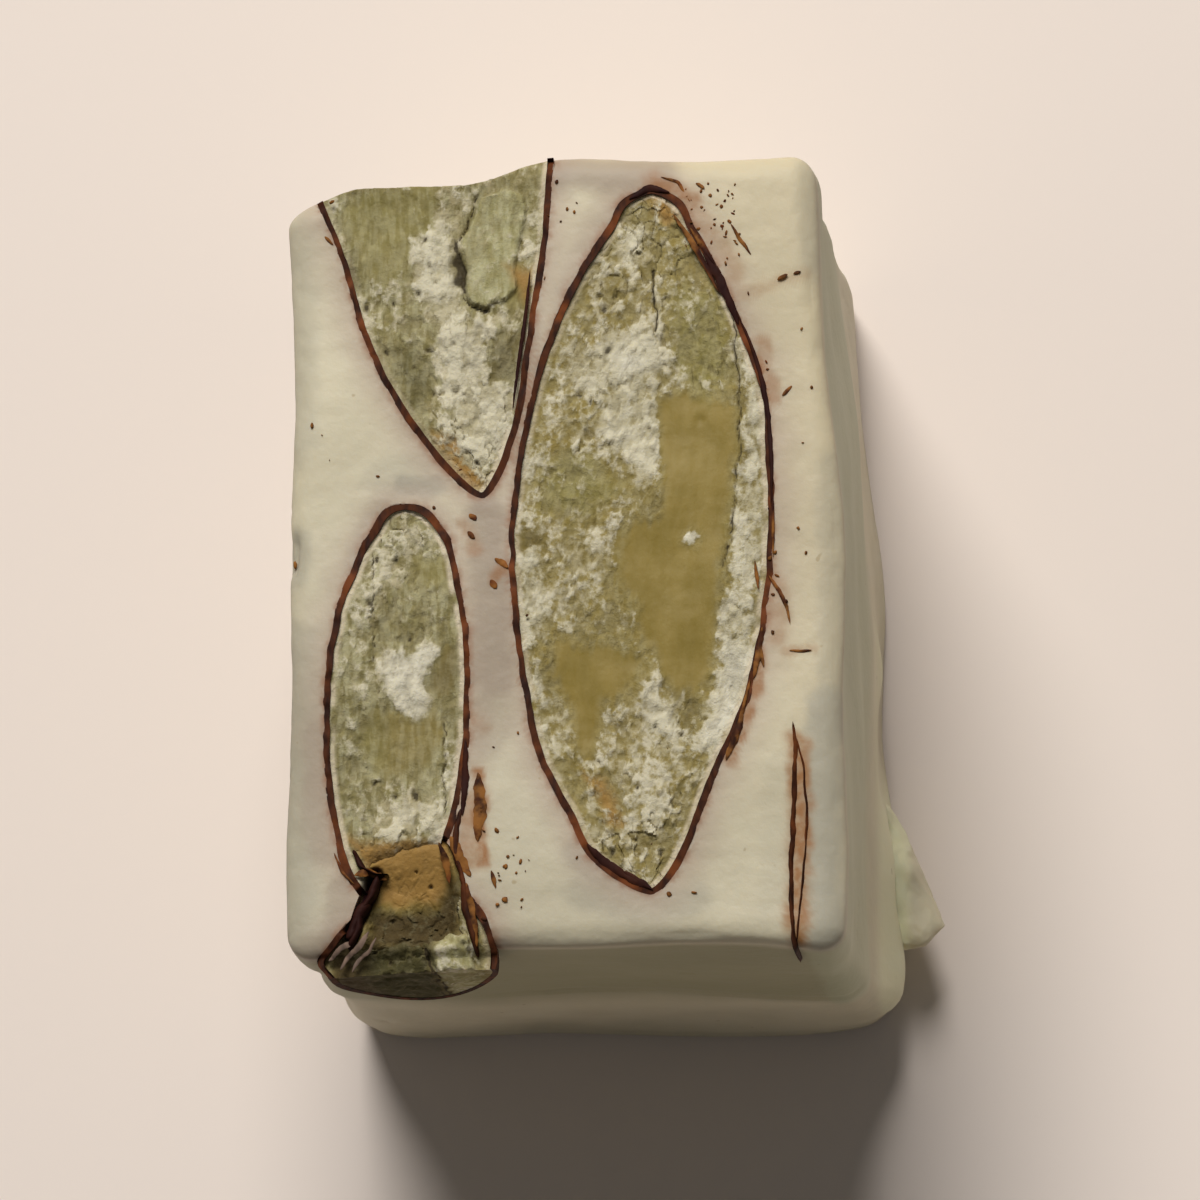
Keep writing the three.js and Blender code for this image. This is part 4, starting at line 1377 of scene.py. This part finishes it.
# x and y of the middle, half extents, how many, and the usual length
CRUMB_CLOUDS = (
    (5.0, 12.1, 0.9, 0.8, 20, 0.13), (5.8, 10.9, 0.4, 0.9, 12, 0.14), (-1.8, -11.0, 0.6, 1.3, 12, 0.1),
    (4.6, 11.3, 0.5, 0.7, 8, 0.12), (0.6, -9.0, 3.5, 4.0, 6, 0.1), (7.4, 3.0, 1.2, 6.0, 8, 0.12),
    (-6, 3.0, 2.5, 1.5, 4, 0.1), (7.2, -1.2, 0.3, 1.6, 5, 0.14), (-3.0, -8.8, 0.3, 1.4, 6, 0.12),
    (-0.2, 12.4, 0.6, 1.0, 5, 0.12),
)
STRIP_ROWS = 36
STRIP_RISE = 0.03


def strip_grid(line, width, seed):
    """A flat loop carried along the line, pointed at its ends, with a frayed rim. It lies on the cut face
    and dips into the broken hole."""
    middle = polyline(line, STRIP_ROWS)
    ahead = np.gradient(middle, axis=0)
    ahead /= np.linalg.norm(ahead, axis=1, keepdims=True)
    aside = np.stack([-ahead[:, 1], ahead[:, 0]], axis=1)
    where = np.concatenate([middle, np.full((STRIP_ROWS, 1), float(seed))], axis=1)
    taper = np.clip(1 - np.linspace(-1, 1, STRIP_ROWS) ** 2, 0, 1) ** 0.6
    loop = np.linspace(0, 2 * np.pi, 9)
    side = where[:, None] + np.array([0, 0, 1]) * np.cos(loop)[None, :, None]
    half = width / 2 * taper[:, None] * (1 + 0.7 * rough_noise(side, 0.35, seed))
    flat = middle[:, None] + aside[:, None] * (half * np.cos(loop))[..., None]
    bed = cut_face_height(middle[:, 0], middle[:, 1]) - 0.7 * hole(middle[:, 0], middle[:, 1])
    curl = 0.04 * smooth_noise(where, 0.5, seed + 1)
    z = (bed + STRIP_RISE + curl)[:, None] + STRIP_RISE * np.sin(loop)
    return np.concatenate([flat, z[..., None]], axis=-1)


def crumb_grid(x, y, length, draw):
    """A squeezed ball with a crumpled rim, turned about by the draw."""
    down = np.linspace(0, np.pi, 6)[:, None]
    turn = np.linspace(0, 2 * np.pi, 9)[None, :]
    level = np.cos(down) + 0 * turn
    ball = np.stack([np.sin(down) * np.cos(turn), np.sin(down) * np.sin(turn), level], axis=-1)
    ball = ball * (1 + 0.4 * smooth_noise(ball * 2 + draw.uniform(0, 30, 3), 1.1, 152)[..., None])
    heading = draw.uniform(0, np.pi)
    slimness = draw.uniform(0.35, 0.9)
    c, s = math.cos(heading), math.sin(heading)
    px, py = ball[..., 0] * length / 2, ball[..., 1] * length / 2 * slimness
    bed = cut_face_height(np.array([x]), np.array([y]))[0]
    grid = np.stack([x + px * c - py * s, y + px * s + py * c, bed + 0.02 + ball[..., 2] * 0.05], axis=-1)
    grid[:, -1] = grid[:, 0]
    grid[0], grid[-1] = grid[0, 0], grid[-1, 0]
    return grid


draw = np.random.default_rng(151)
strips = []
for width, line in (*THIN_STRIPS, *DARK_STRIPS, *PALE_STRIPS):
    strips.append(strip_grid(line, width, 152 + len(strips)))
scraps = [crumb_grid(*crumb, draw) for crumb in CRUMBS]
for middle_x, middle_y, reach_x, reach_y, count, usual in CRUMB_CLOUDS:
    for _ in range(count):
        crumb_x = middle_x + reach_x * draw.uniform(-1, 1)
        crumb_y = middle_y + reach_y * draw.uniform(-1, 1)
        scraps.append(crumb_grid(crumb_x, crumb_y, usual * draw.uniform(0.6, 1.4), draw))
print(len(strips), "strips and", len(scraps), "crumbs")
flakes = make_piece("skin_flakes", strips + scraps)
x, y, z = points_of(flakes).T
near_dark, near_pale = (
    np.min([from_line(x, y, line) for _, line in lines], axis=0) for lines in (DARK_STRIPS, PALE_STRIPS)
)
thick, pale = 1 - smoothstep(near_dark, 0.15, 0.3), 1 - smoothstep(near_pale, 0.15, 0.3)
give_values(flakes, thin=1 - np.maximum(thick, pale), thick=thick, pale=pale)
shade(flakes, 80)
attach(flakes, "root")

# %% [markdown]
# ## Materials
# A material is a small calculation that runs at each point of a surface. Blender draws it as nodes, but
# sums are easier to read as sums. So a small class wraps the output of a node and turns each operator into
# a Math node, and one method makes every other kind of node. Patterns read Object coordinates, which stay
# fixed to the piece.


# %% Writing nodes as expressions
class Value:
    """A number that a node gives, for use in Python expressions."""

    def __init__(self, finish, socket):
        self.finish, self.socket = finish, socket

    def math(self, operation, first, second):
        return self.finish.node("ShaderNodeMath", {"operation": operation}, {0: first, 1: second})

    def __add__(self, other):
        return self.math("ADD", self, other)

    __radd__ = __add__

    def __mul__(self, other):
        return self.math("MULTIPLY", self, other)

    __rmul__ = __mul__

    def __sub__(self, other):
        return self.math("SUBTRACT", self, other)

    def __rsub__(self, other):
        return self.math("SUBTRACT", other, self)


class Finish:
    """One material around a Principled shader."""

    def __init__(self, name, fixed):
        self.material = bpy.data.materials.new(name)
        self.material.use_nodes = True
        self.tree = self.material.node_tree
        self.surface = self.tree.nodes["Principled BSDF"]
        for socket, value in fixed.items():
            self.surface.inputs[socket].default_value = value
        self.place = self.node("ShaderNodeTexCoord", output="Object")

    def node(self, kind, settings=None, inputs=None, output=0):
        """Adds a node, sets its settings, then its sockets, and returns one output."""
        node = self.tree.nodes.new(kind)
        for name, value in (settings or {}).items():
            setattr(node, name, value)
        for key, value in (inputs or {}).items():
            if isinstance(value, Value):
                self.tree.links.new(value.socket, node.inputs[key])
            else:
                node.inputs[key].default_value = value
        return Value(self, node.outputs[output])

    def stored(self, name):
        """A value that the mesh stores at its vertices."""
        return self.node("ShaderNodeAttribute", {"attribute_name": name}, output="Fac")

    def noise(self, size, detail=3.0, stretch=(1, 1, 1), roughness=0.5):
        """Noise from 0 to 1 with lumps of the given size in millimetres, longer where stretch is small."""
        place = self.node("ShaderNodeMapping", inputs={"Vector": self.place, "Scale": stretch})
        sockets = {"Vector": place, "Scale": 1 / (size * MM), "Detail": detail, "Roughness": roughness}
        return self.node("ShaderNodeTexNoise", {}, sockets)

    def ramp(self, value, low, high):
        """0 where value is below low, 1 where it is above high, and smooth between."""
        sockets = {"Value": value, "From Min": low, "From Max": high}
        return self.node("ShaderNodeMapRange", {"interpolation_type": "SMOOTHSTEP"}, sockets)

    def mix(self, share, first, second):
        """A colour between two colours."""
        return self.node("ShaderNodeMix", {"data_type": "RGBA"}, {0: share, 6: first, 7: second}, output=2)

    def coat(self, colour, field, strength, tint):
        """The colour with a coat of another one, as strong as a stored field says at each point."""
        return self.mix(self.stored(field) * strength, colour, tint)

    def finish(self, colour, roughness, height, distance):
        """Links colour and roughness, and a bump of the given height in millimetres."""
        bump = self.node("ShaderNodeBump", {}, {"Height": height, "Distance": distance * MM})
        for socket, value in (("Base Color", colour), ("Roughness", roughness), ("Normal", bump)):
            self.tree.links.new(value.socket, self.surface.inputs[socket])
        return self.material


def paint(red, green, blue):
    """A colour as an artist picks it, from 0 to 255, turned into the light that it reflects."""
    share = np.array([red, green, blue]) / 255
    light = np.where(share <= 0.04045, share / 12.92, ((share + 0.055) / 1.055) ** 2.4)
    return (*light, 1.0)


# %% [markdown]
# Nougat is whipped sugar and honey: pale cream, satin, and a little translucent, so light bleeds a
# millimetre into it. The stored stains tint it, stored painted shade darkens it and painted light makes
# its foot pale, and a faint mottle and a few specks keep it from looking like plastic.


# %% Nougat
# field, strength and paint of each coat, in the order of the coats: tints and stains, painted shade on the
# cut face and on the upper front and right walls, and painted light on the foot
STAIN_SHADE_AND_LIGHT_COATS = (
    ("cream", 1.0, (198, 184, 152)),
    # painted shade: darker towards the lower left of the cut face
    ("dull", 0.8, (186, 176, 150)),
    # painted shade: grey along the edges of the cut face and beside some skins
    ("grey_shade", 0.6, (140, 136, 124)),
    ("pink", 0.7, (172, 152, 132)),
    ("mauve", 0.75, (150, 132, 114)),
    # painted shade on the upper front wall
    ("front", 0.85, (150, 144, 110)),
    # painted shade on the upper right wall
    ("side", 0.8, (175, 174, 142)),
    # painted light on the lip and the flap
    ("foot", 0.9, (224, 219, 182)),
)


def nougat_finish():
    made = Finish(
        "nougat",
        {
            "Subsurface Weight": 0.3,
            "Subsurface Radius": (1.0, 0.8, 0.55),
            "Subsurface Scale": 0.6 * MM,
            "Specular IOR Level": 0.35,
        },
    )
    mottle = made.noise(3.2, 4.0)
    colour = made.mix(made.ramp(mottle, 0.35, 0.7), paint(206, 195, 166), paint(198, 187, 158))
    for field, strength, tint in STAIN_SHADE_AND_LIGHT_COATS:
        colour = made.coat(colour, field, strength, paint(*tint))
    ragged = made.ramp(made.noise(0.5), 0.3, 0.6)
    colour = made.mix(made.stored("rust") * ragged * 0.8, colour, paint(142, 92, 58))
    colour = made.mix(made.stored("orange") * (0.6 + 0.4 * ragged), colour, paint(146, 92, 34))
    colour = made.coat(colour, "bruise", 0.5, paint(128, 118, 122))
    specks = made.ramp(made.noise(0.5, 1.0), 0.76, 0.82)
    colour = made.mix(specks * 0.5, colour, paint(150, 128, 88))
    grain = made.noise(0.28, 4.0)
    return made.finish(colour, 0.5 + 0.14 * mottle, grain + 1.6 * made.noise(0.9, 2.0), 0.018)


NOUGAT_FINISH = nougat_finish()
nougat.data.materials.clear()
nougat.data.materials.append(NOUGAT_FINISH)
print("nougat's finish:", len(NOUGAT_FINISH.node_tree.nodes), "nodes")

# %% [markdown]
# A broken kernel is waxy and ochre where it is smooth and powdery where it is crushed. The stored fields
# say where, and fine noise sharpens their borders to flakes far smaller than the mesh. Painted shade
# darkens the dark zones, the pits and the cracks.


# %% Kernels
def kernel_finish():
    made = Finish(
        "almond_kernel",
        {
            "Subsurface Weight": 0.15,
            "Subsurface Radius": (1.0, 0.8, 0.4),
            "Subsurface Scale": 0.5 * MM,
            "Specular IOR Level": 0.16,
        },
    )
    fine = made.noise(0.2, 5.0, roughness=0.65)
    speckle = made.ramp(made.noise(0.42, 4.0, (1, 0.8, 1), 0.65), 0.33, 0.67)
    clump = made.ramp(made.noise(0.24, 3.0), 0.35, 0.65)
    coarse = made.ramp(made.noise(1.1, 4.0, (1, 0.6, 1)), 0.35, 0.65)
    ochre = made.mix(coarse, paint(132, 112, 50), paint(144, 123, 62))
    green = made.mix(coarse, paint(128, 118, 58), paint(142, 131, 74))
    colour = made.coat(ochre, "green", 0.8, green)
    streak = made.ramp(made.noise(0.24, 3.0, (1, 0.28, 1)), 0.38, 0.62)
    dusty = made.mix(streak, paint(124, 114, 72), paint(162, 154, 118))
    bare = 1 - made.stored("waxy")
    colour = made.mix(made.stored("dust") * (0.15 + 0.85 * bare), colour, dusty)
    tone = made.stored("tone")
    pale_green = made.mix(0.5 * speckle + 0.5 * streak, paint(146, 138, 90), paint(186, 180, 142))
    colour = made.coat(colour, "chip", 0.8, pale_green)
    colour = made.mix(made.ramp(tone, 0.55, 0.2) * bare * 0.4, colour, paint(112, 100, 64))
    colour = made.mix(clump * bare * 0.35, colour, paint(158, 146, 104))
    colour = made.coat(colour, "warm", 0.85, paint(154, 116, 60))
    # painted shade: in the dark zones the colour gives way to darker copies of the ochre and the green,
    # flecked with lighter grains
    shaded = made.mix(made.stored("green"), paint(62, 48, 26), paint(58, 53, 26))
    grains = made.ramp(made.noise(0.32, 2.0), 0.52, 0.68)
    colour = made.mix(made.stored("dark"), colour, made.mix(grains * 0.45, shaded, paint(108, 100, 74)))
    white = made.mix(made.ramp(tone + 0.5 * fine, 0.4, 1.0), paint(160, 147, 110), paint(200, 190, 162))
    white = made.coat(white, "white", 0.3, paint(204, 196, 170))
    white = made.coat(white, "snow", 0.7, paint(212, 204, 182))
    crust = made.ramp(made.stored("chalk") + 0.5 * speckle + 0.3 * clump, 0.5, 1.1)
    colour = made.mix(crust, colour, white)
    colour = made.coat(colour, "rim", 0.85, paint(212, 196, 168))
    # painted shade: darker in the pits, cracks and crevices, nearly black where they are deepest
    colour = made.coat(colour, "pit", 0.7, paint(92, 80, 50))
    colour = made.mix(made.ramp(made.stored("pit"), 0.62, 0.84) * 0.8, colour, paint(40, 30, 18))
    colour = made.mix(made.stored("slit"), colour, paint(40, 9, 12))
    roughness = 0.82 - 0.3 * made.stored("waxy") * (1 - crust)
    height = (fine + 0.6 * speckle + 0.3 * clump) * (1.2 - made.stored("waxy")) + 0.5 * coarse
    return made.finish(colour, roughness, height, 0.035)


KERNEL_FINISH = kernel_finish()
for kernel in kernels:
    kernel.data.materials.append(KERNEL_FINISH)
print("kernels' finish:", len(KERNEL_FINISH.node_tree.nodes), "nodes")

# %% [markdown]
# Skin is dark brown where it stands on edge, and red or orange where a thin scrap lets light through.


# %% Skins
def skin_finish():
    made = Finish("almond_skin", {"Specular IOR Level": 0.12})
    patchy = made.noise(1.3, 4.0)
    fibre = made.noise(0.25, 3.0, (1, 0.35, 1))
    dark = made.mix(made.ramp(fibre, 0.3, 0.7), paint(40, 18, 8), paint(76, 39, 18))
    colour = made.mix(made.ramp(patchy, 0.5, 0.7) * 0.8, dark, paint(118, 62, 27))
    ragged = made.ramp(made.noise(0.5), 0.35, 0.65)
    colour = made.mix(made.stored("thin") * ragged * 0.75, colour, paint(150, 98, 44))
    colour = made.coat(colour, "thick", 0.85, paint(38, 13, 10))
    colour = made.mix(made.stored("pale") * (0.2 + 0.5 * fibre), colour, paint(150, 130, 114))
    return made.finish(colour, 0.6 + 0.2 * fibre, fibre, 0.05)


SKIN_FINISH = skin_finish()
for piece in (*skins, flakes):
    piece.data.materials.append(SKIN_FINISH)
print("skins' finish:", len(SKIN_FINISH.node_tree.nodes), "nodes")

# %% [markdown]
# ## Floor, light and camera
# The piece stands on a pale floor. The light comes from high behind, as in the picture, so the cut face is
# bright, the right wall is half as bright, and the front wall lies in shade.

# %% Floor
FLOOR_SIZE = 4.0
bpy.ops.mesh.primitive_plane_add(size=FLOOR_SIZE, location=(0, 0, -0.02 * MM))
floor = bpy.context.object
floor.name = "floor"
floor_finish = Finish("floor", {"Specular IOR Level": 0.1})
tint = floor_finish.mix(floor_finish.noise(60.0), paint(229, 215, 203), paint(231, 217, 205))
floor_finish.finish(tint, floor_finish.noise(4.0) * 0.05 + 0.85, floor_finish.noise(1.0), 0.002)
floor.data.materials.append(floor_finish.material)

# %% Light
# Painted shade on the nougat's upper front and right walls adds to the shade that this light gives
TARGET = Vector((1.2, -1.6, HEIGHT)) * MM
TO_LIGHT = Vector((-0.1, 0.6, 0.78)).normalized()
LIGHT_DISTANCE = 0.6
LIGHT_SIZE = 0.3
LIGHT_POWER = 4.3
ROOM_LIGHT = 0.1
key = bpy.data.objects.new("key", bpy.data.lights.new("key", "AREA"))
key.data.shape = "DISK"
key.data.size = LIGHT_SIZE
key.data.energy = LIGHT_POWER
key.location = TARGET + TO_LIGHT * LIGHT_DISTANCE
key.rotation_euler = TO_LIGHT.to_track_quat("Z", "Y").to_euler()
bpy.context.scene.collection.objects.link(key)
world = bpy.data.worlds.new("studio")
world.use_nodes = True
background = world.node_tree.nodes["Background"]
background.inputs["Color"].default_value = (0.96, 0.98, 1.0, 1)
background.inputs["Strength"].default_value = ROOM_LIGHT
bpy.context.scene.world = world
bpy.context.scene.view_settings.view_transform = "Standard"

# %% Camera
CAMERA_DISTANCE = 400
NADIR_OFFSET = (33, -67)
FRAME_WIDTH = 41
rise = math.sqrt(CAMERA_DISTANCE**2 - NADIR_OFFSET[0] ** 2 - NADIR_OFFSET[1] ** 2)
camera = bpy.data.objects.new("camera", bpy.data.cameras.new("camera"))
camera.location = Vector((*NADIR_OFFSET, HEIGHT + rise)) * MM
forward = (TARGET - camera.location).normalized()
right = forward.cross(Vector((0, 1, 0))).normalized()
upward = right.cross(forward)
camera.rotation_euler = Matrix((right, upward, -forward)).transposed().to_euler()
camera.data.lens = camera.data.sensor_width * CAMERA_DISTANCE / FRAME_WIDTH
camera.data.clip_start = 0.01
bpy.context.scene.collection.objects.link(camera)
bpy.context.scene.camera = camera
